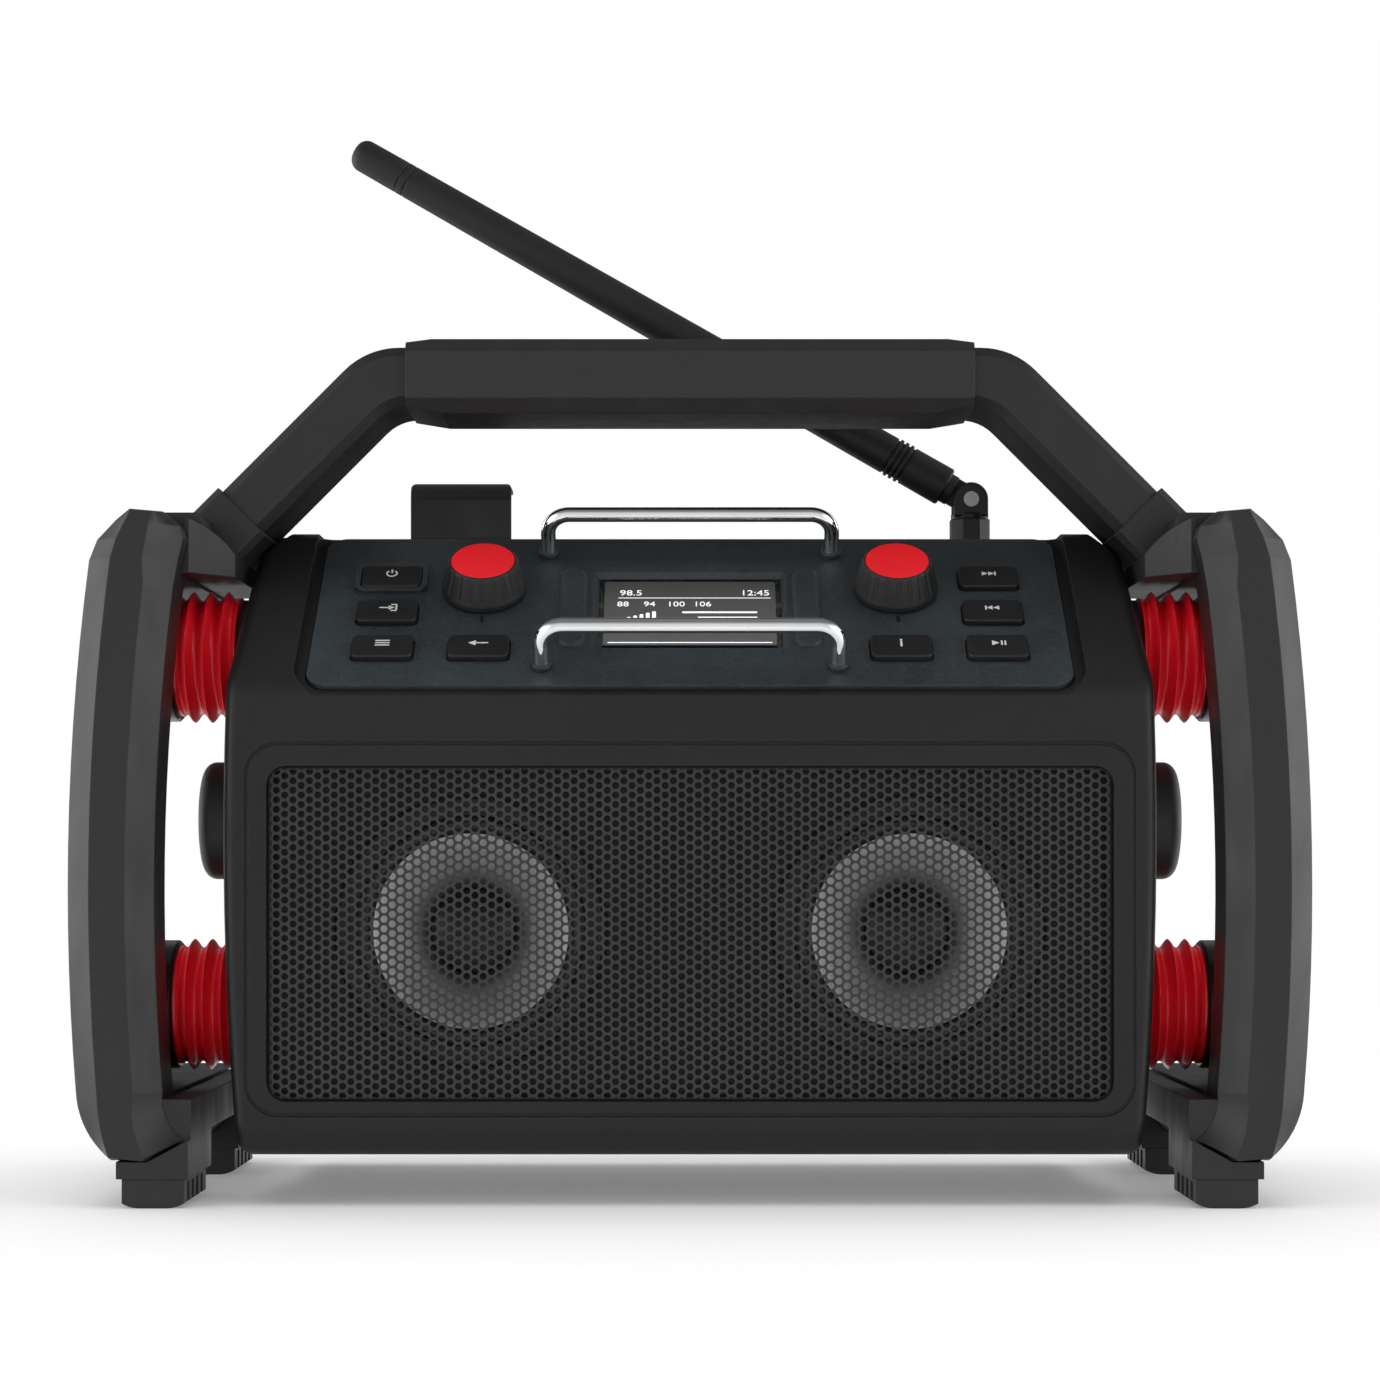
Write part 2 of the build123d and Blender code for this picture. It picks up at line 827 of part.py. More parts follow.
def make_panel():
    """Panel plate with its holes and mounds, and the parts that it carries."""
    plate = panel_slab(0, -panel_thickness, 0)
    plate = make_display(make_keys(plate))
    for x in (-knob_x, knob_x):
        plate -= on_panel(x, knob_s, 0) * Cylinder(
            encoder_shaft_radius + shaft_hole_clearance, panel_drill_length
        )
    for s in rail_rows:
        for x in (-rail_half_span, rail_half_span):
            plate -= on_panel(x, s, 0) * Cylinder(rail_radius, panel_drill_length)
    for x in (-mound_x, mound_x):
        oval = Rot(0, 0, 90) * SlotOverall(mound_length, mound_width)
        mound = extrude(oval, amount=mound_height)
        mound = fillet(mound.faces().sort_by(Axis.Z)[-1].edges(), mound_round)
        plate += on_panel(x, display_s, 0) * mound
    keep("control_panel", plate)
    make_key_board()
    make_encoders()


def make_knob(name, x):
    """Fluted tapered knob with a disc let into its top."""
    wall_low = knob_gap + knob_band
    wall_high = knob_height - knob_bevel
    outline = Polyline(
        (0, knob_gap),
        (knob_base_radius, knob_gap),
        (knob_base_radius, wall_low),
        (knob_top_radius, wall_high),
        (knob_top_radius - knob_bevel, knob_height),
        (0, knob_height),
        close=True,
    )
    body = revolve(Plane.XZ * make_face(outline), Axis.Z)
    lean = degrees(atan((knob_base_radius - knob_top_radius) / (wall_high - wall_low)))
    flute = Cylinder(
        knob_flute_radius, knob_height, align=(Align.CENTER, Align.CENTER, Align.MIN)
    )
    flute_radius = knob_base_radius - (knob_flute_low - wall_low) * tan(radians(lean))
    flute = (
        Pos(flute_radius, 0, knob_flute_low)
        * Rot(0, -lean, 0)
        * Pos(knob_flute_radius - knob_flute_depth, 0, 0)
        * flute
    )
    for turn in range(knob_flutes):
        body -= Rot(0, 0, 360 * turn / knob_flutes) * flute
    seat_low = knob_height - knob_cap_thickness
    body -= Pos(0, 0, seat_low + knob_cap_thickness) * Cylinder(
        knob_cap_radius, 2 * knob_cap_thickness
    )
    bore_radius = encoder_shaft_radius + encoder_bore_clearance
    bore_top = knob_height - knob_roof + shaft_end_gap
    body -= Pos(0, 0, bore_top / 2) * Cylinder(bore_radius, bore_top)
    keep(name, on_panel(x, knob_s, 0) * body)
    disc = Pos(0, 0, seat_low + knob_cap_thickness / 2) * Cylinder(
        knob_cap_radius - knob_cap_clearance, knob_cap_thickness
    )
    disc = chamfer(disc.faces().sort_by(Axis.Z)[-1].edges(), knob_cap_bevel)
    keep(name + "_disc", on_panel(x, knob_s, 0) * disc)


def make_rail(name, s):
    """Bent tube over the display, its feet let into the panel."""
    path = FilletPolyline(
        (-rail_half_span, 0, -panel_thickness),
        (-rail_half_span, 0, rail_height),
        (rail_half_span, 0, rail_height),
        (rail_half_span, 0, -panel_thickness),
        radius=rail_bend,
    )
    start = Plane(origin=path @ 0, z_dir=path % 0)
    tube = sweep(start * Circle(rail_radius), path=path)
    for x in (-rail_half_span, rail_half_span):
        collar = Pos(x, 0, rail_collar_thickness / 2) * Cylinder(
            rail_collar_radius, rail_collar_thickness
        )
        collar = chamfer(collar.faces().sort_by(Axis.Z)[-1].edges(), rail_collar_bevel)
        tube += collar
    keep(name, on_panel(0, s, 0) * tube)


# ---------------------------------------------------------------- speaker bay
def make_grille():
    """Shallow sheet tray behind the bezel lip; its rim seats on the baffle."""
    face_y = housing_front_y + housing_wall
    grow = grille_lip - grille_clearance
    tray = slab_y(bay_outline(grow), face_y, baffle_front_y)
    hollow = bay_outline(grow - grille_sheet)
    tray -= slab_y(hollow, face_y + grille_sheet, baffle_front_y + overcut)
    keep("speaker_grille", tray)


def make_basket(side_name, x, front_y, neck_y):
    """Pressed speaker basket with four windows, and the magnet behind it."""
    basket = ring_y(
        [
            (speaker_basket_radius - speaker_sheet, front_y),
            (speaker_flange_radius, front_y),
            (speaker_flange_radius, baffle_front_y),
            (speaker_basket_radius, baffle_front_y),
            (speaker_neck_radius, neck_y - speaker_sheet),
            (speaker_neck_radius, neck_y),
            (0, neck_y),
            (0, neck_y - speaker_sheet),
            (speaker_neck_radius - speaker_sheet, neck_y - speaker_sheet),
            (speaker_basket_radius - speaker_sheet, baffle_front_y),
        ],
        x,
        speaker_z,
    )
    window = slab_y(
        Rectangle(basket_window_width, 2 * speaker_basket_radius),
        baffle_front_y + speaker_basket_depth / 4,
        neck_y - speaker_basket_depth / 4,
    )
    for turn in (45, 135):
        basket -= Pos(x, 0, speaker_z) * Rot(0, turn, 0) * window
    keep(side_name + "_speaker_basket", basket)
    magnet = slab_y(Circle(magnet_radius), neck_y, neck_y + magnet_depth)
    keep(side_name + "_speaker_magnet", Pos(x, 0, speaker_z) * magnet)


def make_cone(side_name, x, front_y):
    """Surround, cone and dust cap, all turned about the speaker's axis."""
    roll_middle = (surround_outer_radius + cone_radius) / 2
    roll = make_face(
        ThreePointArc(
            (cone_radius, front_y),
            (roll_middle, front_y - surround_roll),
            (surround_outer_radius, front_y),
        )
        + Line((surround_outer_radius, front_y), (cone_radius, front_y))
    )
    place = Pos(x, 0, speaker_z)
    keep(side_name + "_speaker_surround", place * revolve(roll, Axis.Y))

    edge_radius = speaker_basket_radius - speaker_sheet - cone_clearance
    seat_y = front_y + cone_depth
    cone = [
        (cone_radius, front_y),
        (edge_radius, front_y),
        (edge_radius, front_y + cone_thickness),
        (cone_radius, front_y + cone_thickness),
        (cap_radius, seat_y + cone_thickness),
        (0, seat_y + cone_thickness),
        (0, seat_y),
        (cap_radius, seat_y),
    ]
    keep(side_name + "_speaker_cone", ring_y(cone, x, speaker_z))

    dome_radius = (cap_radius**2 + cap_rise**2) / (2 * cap_rise)
    half_rise = sqrt(dome_radius**2 - (cap_radius / 2) ** 2) - (dome_radius - cap_rise)
    dome = make_face(
        Line((0, seat_y), (0, seat_y - cap_rise))
        + ThreePointArc(
            (0, seat_y - cap_rise), (cap_radius / 2, seat_y - half_rise), (cap_radius, seat_y)
        )
        + Line((cap_radius, seat_y), (0, seat_y))
    )
    keep(side_name + "_dust_cap", place * revolve(dome, Axis.Y))


def make_speaker(side_name, x):
    """One loudspeaker in the baffle: basket, magnet, surround, cone and dust cap."""
    front_y = baffle_front_y - speaker_flange_thickness
    make_basket(side_name, x, front_y, baffle_front_y + speaker_basket_depth)
    make_cone(side_name, x, front_y)


def make_speaker_screws():
    """Pan heads that hold both speaker flanges to the baffle."""
    flange_y = baffle_front_y - speaker_flange_thickness
    heads = []
    for x in (-speaker_x, speaker_x):
        for turn in range(speaker_screw_count):
            angle = radians(45 + 360 * turn / speaker_screw_count)
            px = x + speaker_screw_circle * cos(angle)
            pz = speaker_z + speaker_screw_circle * sin(angle)
            heads.append(
                slab_y(
                    Pos(px, pz) * Circle(screw_head_radius),
                    flange_y - screw_head_height,
                    flange_y,
                )
            )
    keep("speaker_screws", Compound(children=heads))


# ---------------------------------------------------------------- side guards
def bow_x(z, inset):
    """How far out the barrel-shaped bow of the guard stands at a height."""
    radius = guard_bow_radius - inset
    return guard_bow_x + sqrt(radius**2 - (z - guard_bow_z) ** 2)


def guard_outline(inset, crown, toe):
    """Front view of the right guard bar: two bows joined over the top and under the toe.

    inset is how far both bows stand inside the full section. crown runs from outside to
    inside over the top, toe from inside to outside round the bottom; both hold places
    out from the guard's inner edge, and down from its top or up from its toe.
    """
    brow_z = guard_top_z - guard_brow_drop
    inner_brow_z = guard_top_z - guard_inner_brow_drop
    heel_z = guard_toe_z + guard_heel_rise
    over = [(guard_inner_x + x, guard_top_z - drop) for x, drop in crown]
    under = [(guard_inner_x + x, guard_toe_z + rise) for x, rise in toe]
    inner_bend, toe_in, sole_in, sole_out, outer_bend = under
    outer_low = (bow_x(heel_z, inset), heel_z)
    outer_high = (bow_x(brow_z, inset), brow_z)
    inner_high = (bow_x(inner_brow_z, guard_width - inset), inner_brow_z)
    inner_low = (bow_x(heel_z, guard_width - inset), heel_z)
    outer_middle = (bow_x(guard_bow_z, inset), guard_bow_z)
    inner_middle = (bow_x(guard_bow_z, guard_width - inset), guard_bow_z)
    outline = ThreePointArc(outer_low, outer_middle, outer_high)
    outline += Polyline(outer_high, *over, inner_high)
    outline += ThreePointArc(inner_high, inner_middle, inner_low)
    outline += ThreePointArc(inner_low, inner_bend, toe_in)
    outline += Polyline(toe_in, sole_in, sole_out)
    outline += ThreePointArc(sole_out, outer_bend, outer_low)
    return make_face(outline)


def make_guard():
    """C-shaped side guard: bowed front bar, arms that run back, lugs for the bellows."""
    band = guard_outline(0, guard_crown, guard_toe)
    front_face = guard_outline(guard_face_inset, guard_face_crown, guard_face_toe)
    layer_y = guard_front_y + guard_chamfer_depth
    bar_rear_y = guard_front_y + guard_depth
    bar = loft(
        [
            (Plane.XZ.offset(-guard_front_y) * front_face).face(),
            (Plane.XZ.offset(-layer_y) * band).face(),
        ],
        ruled=True,
    )
    bar += slab_y(band, layer_y, bar_rear_y)
    for arm_z, rear_y in ((guard_top_z, guard_arm_rear_y), (guard_toe_z, guard_rear_y)):
        cut = Pos(guard_reach_x, arm_z) * Rectangle(4 * guard_span, 2 * guard_arm_height)
        bar += slab_y(band & cut, bar_rear_y, rear_y)
    for arm_z, direction in (
        (guard_top_z - guard_arm_height, -1),
        (guard_toe_z + guard_arm_height, 1),
    ):
        corner_z = arm_z + direction * guard_corner_round
        corner = block(
            (guard_inner_x + guard_corner_inset, bar_rear_y, min(arm_z, corner_z)),
            (
                guard_reach_x - guard_corner_inset,
                bar_rear_y + guard_corner_round,
                max(arm_z, corner_z),
            ),
        )
        corner -= slab_x(
            Pos(bar_rear_y + guard_corner_round, corner_z) * Circle(guard_corner_round),
            guard_inner_x,
            guard_reach_x,
        )
        bar += corner
    low_arm_z = guard_toe_z + guard_arm_height - lug_overlap
    high_arm_z = guard_top_z - guard_arm_height + lug_overlap
    for centre_z, arm_z in zip(bellows_z, (low_arm_z, high_arm_z)):
        ear = Pos(bellows_y, centre_z) * Circle(lug_radius)
        ear += Pos(bellows_y, (centre_z + arm_z) / 2) * Rectangle(
            2 * lug_radius, abs(centre_z - arm_z)
        )
        bar += slab_x(ear, lug_inner_x, lug_inner_x + lug_thickness)
    return bar


def make_foot_rail(guard):
    """Cradle under the guard's lower arm with the two foot blocks."""
    bar_y = guard_front_y + guard_chamfer_depth
    rear_foot_y = foot_front_y + foot_spacing
    rail = block(
        (rail_inner_x, bar_y, foot_rail_mid_z),
        (rail_inner_x + foot_rail_wall, guard_rear_y, foot_rail_high_z),
    )
    seam = make_face(
        Polyline(
            (rail_inner_x, foot_rail_low_z),
            (rail_outer_x, foot_rail_low_z),
            (rail_outer_x, guard_toe_z),
            (rail_inner_x + foot_seam_width, guard_toe_z),
            (rail_inner_x, guard_toe_z + foot_seam_rise),
            close=True,
        )
    )
    rail += slab_y(seam, foot_front_y, bar_y)
    for low_y, high_y in (
        (bar_y, foot_front_y + foot_length),
        (rear_foot_y, rear_foot_y + foot_length),
    ):
        rail += block(
            (rail_inner_x, low_y, foot_rail_low_z), (rail_outer_x, high_y, foot_rail_high_z)
        )
    rail -= guard
    return rail.solids().sort_by(SortBy.VOLUME)[-1]


def make_feet():
    """Two ribbed rubber feet for the right rail."""
    low_x = rail_inner_x + foot_inset
    high_x = rail_outer_x - foot_inset
    flat_low = (low_x + foot_crown_width, 0)
    flat_high = (high_x - foot_crown_width, 0)
    third = foot_crown_width / 3
    sole = make_face(
        Line((low_x, foot_rail_low_z), (low_x, foot_crown))
        + ThreePointArc((low_x, foot_crown), (low_x + third, foot_crown * 4 / 9), flat_low)
        + Line(flat_low, flat_high)
        + ThreePointArc(flat_high, (high_x - third, foot_crown * 4 / 9), (high_x, foot_crown))
        + Line((high_x, foot_crown), (high_x, foot_rail_low_z))
        + Line((high_x, foot_rail_low_z), (low_x, foot_rail_low_z))
    )
    feet = []
    length = foot_length - 2 * foot_inset
    slot = length / (2 * foot_rib_count)
    grooves = (
        (low_x - overcut, low_x + foot_rib_depth),
        (high_x - foot_rib_depth, high_x + overcut),
    )
    for low_y in (foot_front_y, foot_front_y + foot_spacing):
        start = low_y + foot_inset
        foot = slab_y(sole, start, start + length)
        for rib in range(foot_rib_count - 1):
            slot_y = start + (2 * rib + 1.5) * slot
            for inner, outer in grooves:
                foot -= block(
                    (inner, slot_y, -overcut),
                    (outer, slot_y + slot, foot_rail_low_z - foot_rib_stop),
                )
        feet.append(foot)
    return Compound(children=feet)


def make_bellows():
    """Two rubber bellows between the housing's side and the guard's cups."""
    outline = [(housing_side_x, 0), (housing_side_x, bellows_valley)]
    start_x = housing_side_x + bellows_neck
    for ridge in range(bellows_ridges):
        x = start_x + ridge * bellows_pitch
        crest = bellows_pitch / 4
        outline += [
            (x, bellows_valley),
            (x + bellows_pitch / 2 - crest / 2, bellows_radius),
            (x + bellows_pitch / 2 + crest / 2, bellows_radius),
        ]
    outline += [(cup_inner_x - bellows_neck, bellows_valley)]
    outline += [(cup_inner_x, bellows_valley), (cup_inner_x, 0)]
    return Compound(children=[disc_x(outline, bellows_y, z) for z in bellows_z])


def make_cups():
    """Two cups between the bellows and the guard's lugs."""
    outline = [
        (cup_inner_x, 0),
        (cup_inner_x, cup_radius - cup_bevel),
        (cup_inner_x + cup_bevel, cup_radius),
        (lug_inner_x, cup_radius),
        (lug_inner_x, 0),
    ]
    return Compound(children=[disc_x(outline, bellows_y, z) for z in bellows_z])


def make_puck():
    """Round rubber buffer on the housing's side."""
    body = slab_x(
        Pos(bellows_y, puck_z) * Circle(puck_radius), housing_side_x, housing_side_x + puck_height
    )
    return fillet(body.faces().sort_by(Axis.X)[-1].edges(), puck_round)


# ---------------------------------------------------------------- handle
def handle_outline(grow, end_offset):
    """Front view of the whole handle: two 45 degree legs and a cross bar."""
    outer = handle_outer_sum + grow * sqrt(2)
    inner = handle_outer_sum - handle_thickness * sqrt(2) - grow * sqrt(2)
    top = handle_top_z + grow
    under = handle_top_z - handle_thickness - grow
    outer_end = ((outer - end_offset) / 2, (outer + end_offset) / 2)
    inner_end = ((inner - end_offset) / 2, (inner + end_offset) / 2)
    right = [outer_end, (outer - top, top)]
    right_inner = [(inner - under, under), inner_end]
    points = right + [(-x, z) for x, z in reversed(right)]
    points += [(-x, z) for x, z in reversed(right_inner)] + right_inner
    face = make_face(Polyline(*points, close=True))
    for x, z, radius in (
        (outer - top, top, handle_bend),
        (top - outer, top, handle_bend),
        (inner - under, under, handle_inner_bend),
        (under - inner, under, handle_inner_bend),
    ):
        face = fillet(face.vertices().sort_by_distance((x, z, 0))[0], radius)
    return face


def make_handle():
    """Handle frame and the grip sleeve over its cross bar."""
    rear_y = handle_front_y + handle_depth
    frame = slab_y(handle_outline(0, handle_end_offset), handle_front_y, rear_y)
    ends = frame.faces().sort_by(Axis.Y)
    frame = chamfer([e for face in (ends[0], ends[-1]) for e in face.edges()], handle_chamfer)
    keep("handle_frame", frame)

    bar_x = grip_length / 2
    high_z = handle_top_z + grip_wall
    low_z = handle_top_z - handle_thickness - grip_wall
    front_y = handle_front_y - grip_wall
    grip = block((-bar_x, front_y, low_z), (bar_x, rear_y + grip_wall, high_z))
    grip = chamfer(grip.edges().filter_by(Axis.X), grip_chamfer)
    for side in (-1, 1):
        end_x = side * bar_x
        for corners in (
            ((end_x, high_z - grip_top_drop), (end_x - side * grip_top_slope, high_z), (end_x, high_z)),
            ((end_x, low_z + grip_low_rise), (end_x - side * grip_low_slope, low_z), (end_x, low_z)),
        ):
            wedge = make_face(Polyline(*corners, close=True))
            grip -= slab_y(wedge, front_y, rear_y + grip_wall)
    grip -= frame
    keep("handle_grip", grip)
    return frame


def make_socket(guard):
    """Right-hand socket that joins the handle leg to the guard's upper arm."""
    leg_cut = handle_outline(0, handle_end_offset)
    low = (socket_inner_x, socket_low_z)
    side = (socket_inner_x, socket_low_z + socket_side_height)
    root = (guard_inner_x + socket_root, guard_top_z - socket_root)
    middle = ((side[0] + root[0]) / 2, (side[1] + root[1]) / 2)
    bulge = socket_bulge / sqrt(2)
    outline = make_face(
        Polyline(root, (guard_inner_x + 2 * socket_root, socket_low_z), low, side)
        + ThreePointArc(side, (middle[0] - bulge, middle[1] + bulge), root)
    )
    body = slab_y(outline, socket_front_y, socket_rear_y)
    wedge = Plane.XY * make_face(
        Polyline(
            (socket_inner_x, socket_front_y),
            (guard_inner_x, socket_front_y),
            (socket_inner_x, socket_front_y + socket_bevel_depth),
            close=True,
        )
    )
    body -= extrude(wedge, amount=2 * guard_top_z)
    body -= slab_y(
        leg_cut, handle_front_y - collar_step, handle_front_y + handle_depth + collar_step
    )
    body -= guard
    return body.solids().sort_by(SortBy.VOLUME)[-1]


def make_collar(guard, frame, socket):
    """Sleeve with chamfered edges round the handle leg just above the socket."""
    start = handle_end_offset + collar_start
    stop = start + collar_length * sqrt(2)
    ring = handle_outline(collar_step, start) - handle_outline(collar_step, stop)
    sleeve = slab_y(
        ring, handle_front_y - collar_step, handle_front_y + handle_depth + collar_step
    )
    sleeve = sleeve & block(
        (0, -cutter_reach, -cutter_reach), (cutter_reach, cutter_reach, cutter_reach)
    )
    along_leg = Axis((0, 0, 0), (1, 0, -1))
    sleeve = chamfer(sleeve.edges().filter_by(along_leg), collar_chamfer)
    sleeve -= frame
    sleeve -= guard
    sleeve -= socket
    return sleeve.solids().sort_by(SortBy.VOLUME)[-1]


# ---------------------------------------------------------------- antenna
def whip_profile():
    """Half outline of the whip as radius and place along it, with its groups of ribs."""
    points = [
        (0, whip_neck_start),
        (whip_neck_radius, whip_neck_start),
        (whip_neck_radius, sleeve_start),
        (whip_root_radius, sleeve_start),
    ]
    taper = (whip_root_radius - whip_tip_radius) / (antenna_length - sleeve_start)
    for place in whip_rib_places:
        radius = whip_root_radius - taper * place
        groove = radius - whip_groove_depth
        crest = radius + whip_rib_height
        along = sleeve_start + place - (whip_rib_count + 0.5) * whip_rib_pitch / 2
        half = whip_rib_pitch / 2
        points.append((radius, along))
        for rib in range(whip_rib_count):
            points += [
                (groove, along),
                (groove, along + half),
                (crest, along + half),
                (crest, along + 2 * half),
            ]
            along += whip_rib_pitch
        points += [(groove, along), (groove, along + half), (radius, along + half)]
    return points + [
        (whip_tip_radius, antenna_length - whip_tip_bevel),
        (whip_tip_radius - whip_tip_bevel, antenna_length),
        (0, antenna_length),
    ]


def make_antenna():
    """Swivelling post, fork, pivot screw and folding whip."""
    tongue_radius = fork_radius - tongue_inset
    fork_low_z = antenna_pivot_z - tongue_radius
    post = Pos(antenna_x, antenna_y, housing_top_z) * extrude(
        RegularPolygon(antenna_post_radius, 8, rotation=22.5),
        amount=fork_low_z - fork_base_height - housing_top_z,
    )
    keep("antenna_post", post)

    half_gap = fork_gap / 2
    base_height = fork_base_height - fork_seat_gap
    fork = Pos(antenna_x, antenna_y, fork_low_z - fork_base_height + base_height / 2) * Cylinder(
        antenna_post_radius - fork_base_inset, base_height
    )
    ear_low_z = fork_low_z - fork_base_height / 2
    ear = Pos(antenna_x, antenna_pivot_z) * Circle(fork_radius)
    ear += Pos(antenna_x, (antenna_pivot_z + ear_low_z) / 2) * Rectangle(
        2 * fork_radius, antenna_pivot_z - ear_low_z
    )
    fork += slab_y(ear, antenna_y - fork_radius, antenna_y - half_gap)
    fork += slab_y(ear, antenna_y + half_gap, antenna_y + fork_radius)
    pivot_place = Pos(antenna_x, antenna_pivot_z)
    front_y = antenna_y - fork_radius
    shank = slab_y(pivot_place * Circle(pivot_radius), front_y, antenna_y + fork_radius)
    fork -= shank
    keep("antenna_fork", fork)
    screw = shank + slab_y(
        pivot_place * Circle(pivot_head_radius), front_y - pivot_head_height, front_y
    )
    screw -= slab_y(
        pivot_place * RegularPolygon(pivot_socket_radius, 6),
        front_y - pivot_head_height,
        front_y - pivot_head_height + pivot_socket_depth,
    )
    keep("antenna_pivot_screw", screw)

    rod = revolve(make_face(Polyline(*whip_profile(), close=True)), Axis.Y)
    tongue = extrude(
        Circle(tongue_radius)
        + Pos(0, sleeve_start / 2) * Rectangle(2 * tongue_radius, sleeve_start),
        amount=half_gap - tongue_clearance,
        both=True,
    )
    tongue -= Cylinder(pivot_radius + pivot_clearance, 2 * fork_gap)
    # The rod lies along local +Y; it is turned to point left and up at the tilt.
    lie = Plane(
        origin=(antenna_x, antenna_y, antenna_pivot_z),
        x_dir=(-sin(radians(antenna_tilt)), 0, -cos(radians(antenna_tilt))),
        z_dir=(0, 1, 0),
    )
    keep("antenna_whip", lie.location * (rod + tongue))


# ---------------------------------------------------------------- rear fittings
def make_hook():
    """Bent strap on the rear edge of the top."""
    path = FilletPolyline(
        (hook_front_y, housing_top_z + hook_sheet / 2),
        (hook_stand_y, housing_top_z + hook_sheet / 2),
        (hook_stand_y, hook_top_z - hook_sheet / 2),
        (hook_stand_y + hook_lip, hook_top_z - hook_sheet / 2),
        radius=hook_bend,
    )
    strap = offset(path, amount=hook_sheet / 2, side=Side.BOTH, closed=True)
    hook = slab_x(make_face(strap), hook_x - hook_width / 2, hook_x + hook_width / 2)
    front_view = Pos(hook_x, housing_top_z) * RectangleRounded(
        hook_width, 2 * hook_height, hook_corner
    )
    keep("rear_hook", hook & slab_y(front_view, hook_front_y, hook_stand_y + hook_lip))


def make_inner_pieces():
    """Main board and the power inlet in the rear wall."""
    board_y = housing_rear_y - bay_depth - bay_wall
    keep(
        "main_board",
        block(
            (-main_board_width / 2, board_y - board_thickness, main_board_low_z),
            (main_board_width / 2, board_y, main_board_low_z + main_board_height),
        ),
    )
    place = Pos(-housing_side_x + inlet_set_in, inlet_z)
    front_y = housing_rear_y - inlet_depth
    rim_y = housing_rear_y + inlet_rim
    inlet = slab_y(place * Circle(inlet_radius), front_y, rim_y)
    inlet -= slab_y(place * Circle(inlet_bore_radius), front_y + inlet_floor, rim_y)
    inlet += slab_y(
        place * Circle(inlet_pin_radius), front_y + inlet_floor / 2, rim_y - inlet_pin_drop
    )
    nodes["rear_housing"] -= slab_y(place * Circle(inlet_radius), front_y, rim_y)
    keep("power_inlet", inlet)


def main():
    """Build every piece and write one STEP file for each node."""
    make_housing()
    make_panel()
    make_knob("volume_knob", -knob_x)
    make_knob("tuning_knob", knob_x)
    make_rail("front_rail", rail_rows[0])
    make_rail("rear_rail", rail_rows[1])
    make_grille()
    make_speaker("left", -speaker_x)
    make_speaker("right", speaker_x)
    make_speaker_screws()
    guard = make_guard()
    frame = make_handle()
    socket = make_socket(guard)
    collar = make_collar(guard, frame, socket)
    keep_pair("guard", guard)
    keep_pair("foot_rail", make_foot_rail(guard))
    keep_pair("feet", make_feet())
    keep_pair("bellows", make_bellows())
    keep_pair("bellows_cups", make_cups())
    keep_pair("side_puck", make_puck())
    keep_pair("handle_socket", socket)
    keep("handle_collars", Compound(children=[collar, mirrored(collar)]))
    make_antenna()
    make_hook()
    make_inner_pieces()
    os.makedirs("parts", exist_ok=True)
    for name, shape in nodes.items():
        export_step(shape, "parts/" + name + ".step")
    print(len(nodes), "nodes")


main()
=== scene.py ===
"""The looks of a jobsite radio, built round its fixed CAD frame. All lengths are metres."""

import json
import logging
from dataclasses import dataclass, field
from enum import Enum
from math import cos, pi, radians, sin, sqrt, tau
from typing import Callable, Sequence

import bpy
import bmesh
from mathutils import Matrix, Vector


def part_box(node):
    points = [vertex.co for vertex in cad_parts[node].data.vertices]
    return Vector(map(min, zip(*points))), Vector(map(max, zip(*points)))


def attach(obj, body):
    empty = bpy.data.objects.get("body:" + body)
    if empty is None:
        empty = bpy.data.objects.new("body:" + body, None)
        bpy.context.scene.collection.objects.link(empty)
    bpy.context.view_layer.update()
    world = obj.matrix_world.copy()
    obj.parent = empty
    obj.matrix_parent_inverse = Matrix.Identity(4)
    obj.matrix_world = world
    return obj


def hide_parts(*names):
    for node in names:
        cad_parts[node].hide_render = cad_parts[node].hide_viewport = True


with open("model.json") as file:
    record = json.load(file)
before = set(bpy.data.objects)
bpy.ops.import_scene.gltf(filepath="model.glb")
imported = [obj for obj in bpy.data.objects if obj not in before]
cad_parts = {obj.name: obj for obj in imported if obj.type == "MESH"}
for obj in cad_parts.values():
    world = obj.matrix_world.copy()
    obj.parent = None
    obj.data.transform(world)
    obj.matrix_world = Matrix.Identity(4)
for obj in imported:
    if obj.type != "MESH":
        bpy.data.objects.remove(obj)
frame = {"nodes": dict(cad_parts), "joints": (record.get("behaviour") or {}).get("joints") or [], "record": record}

logging.basicConfig(level=logging.INFO, format="%(message)s")
log = logging.getLogger("radio")

MM = 0.001
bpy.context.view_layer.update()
# Two places that are closer than this count as one.
CLOSE = 1e-6


# --------------------------------------------------------------------------- choices


class Side(Enum):
    """Which side of the radio a mirrored piece stands on."""

    LEFT = -1
    RIGHT = 1


class Icon(Enum):
    """The signs printed on the push buttons."""

    POWER = "power"
    SOURCE = "source"
    MENU = "menu"
    BACK = "back"
    INFO = "info"
    NEXT = "next"
    PREVIOUS = "previous"
    PLAY = "play"


# --------------------------------------------------------------------------- shader building


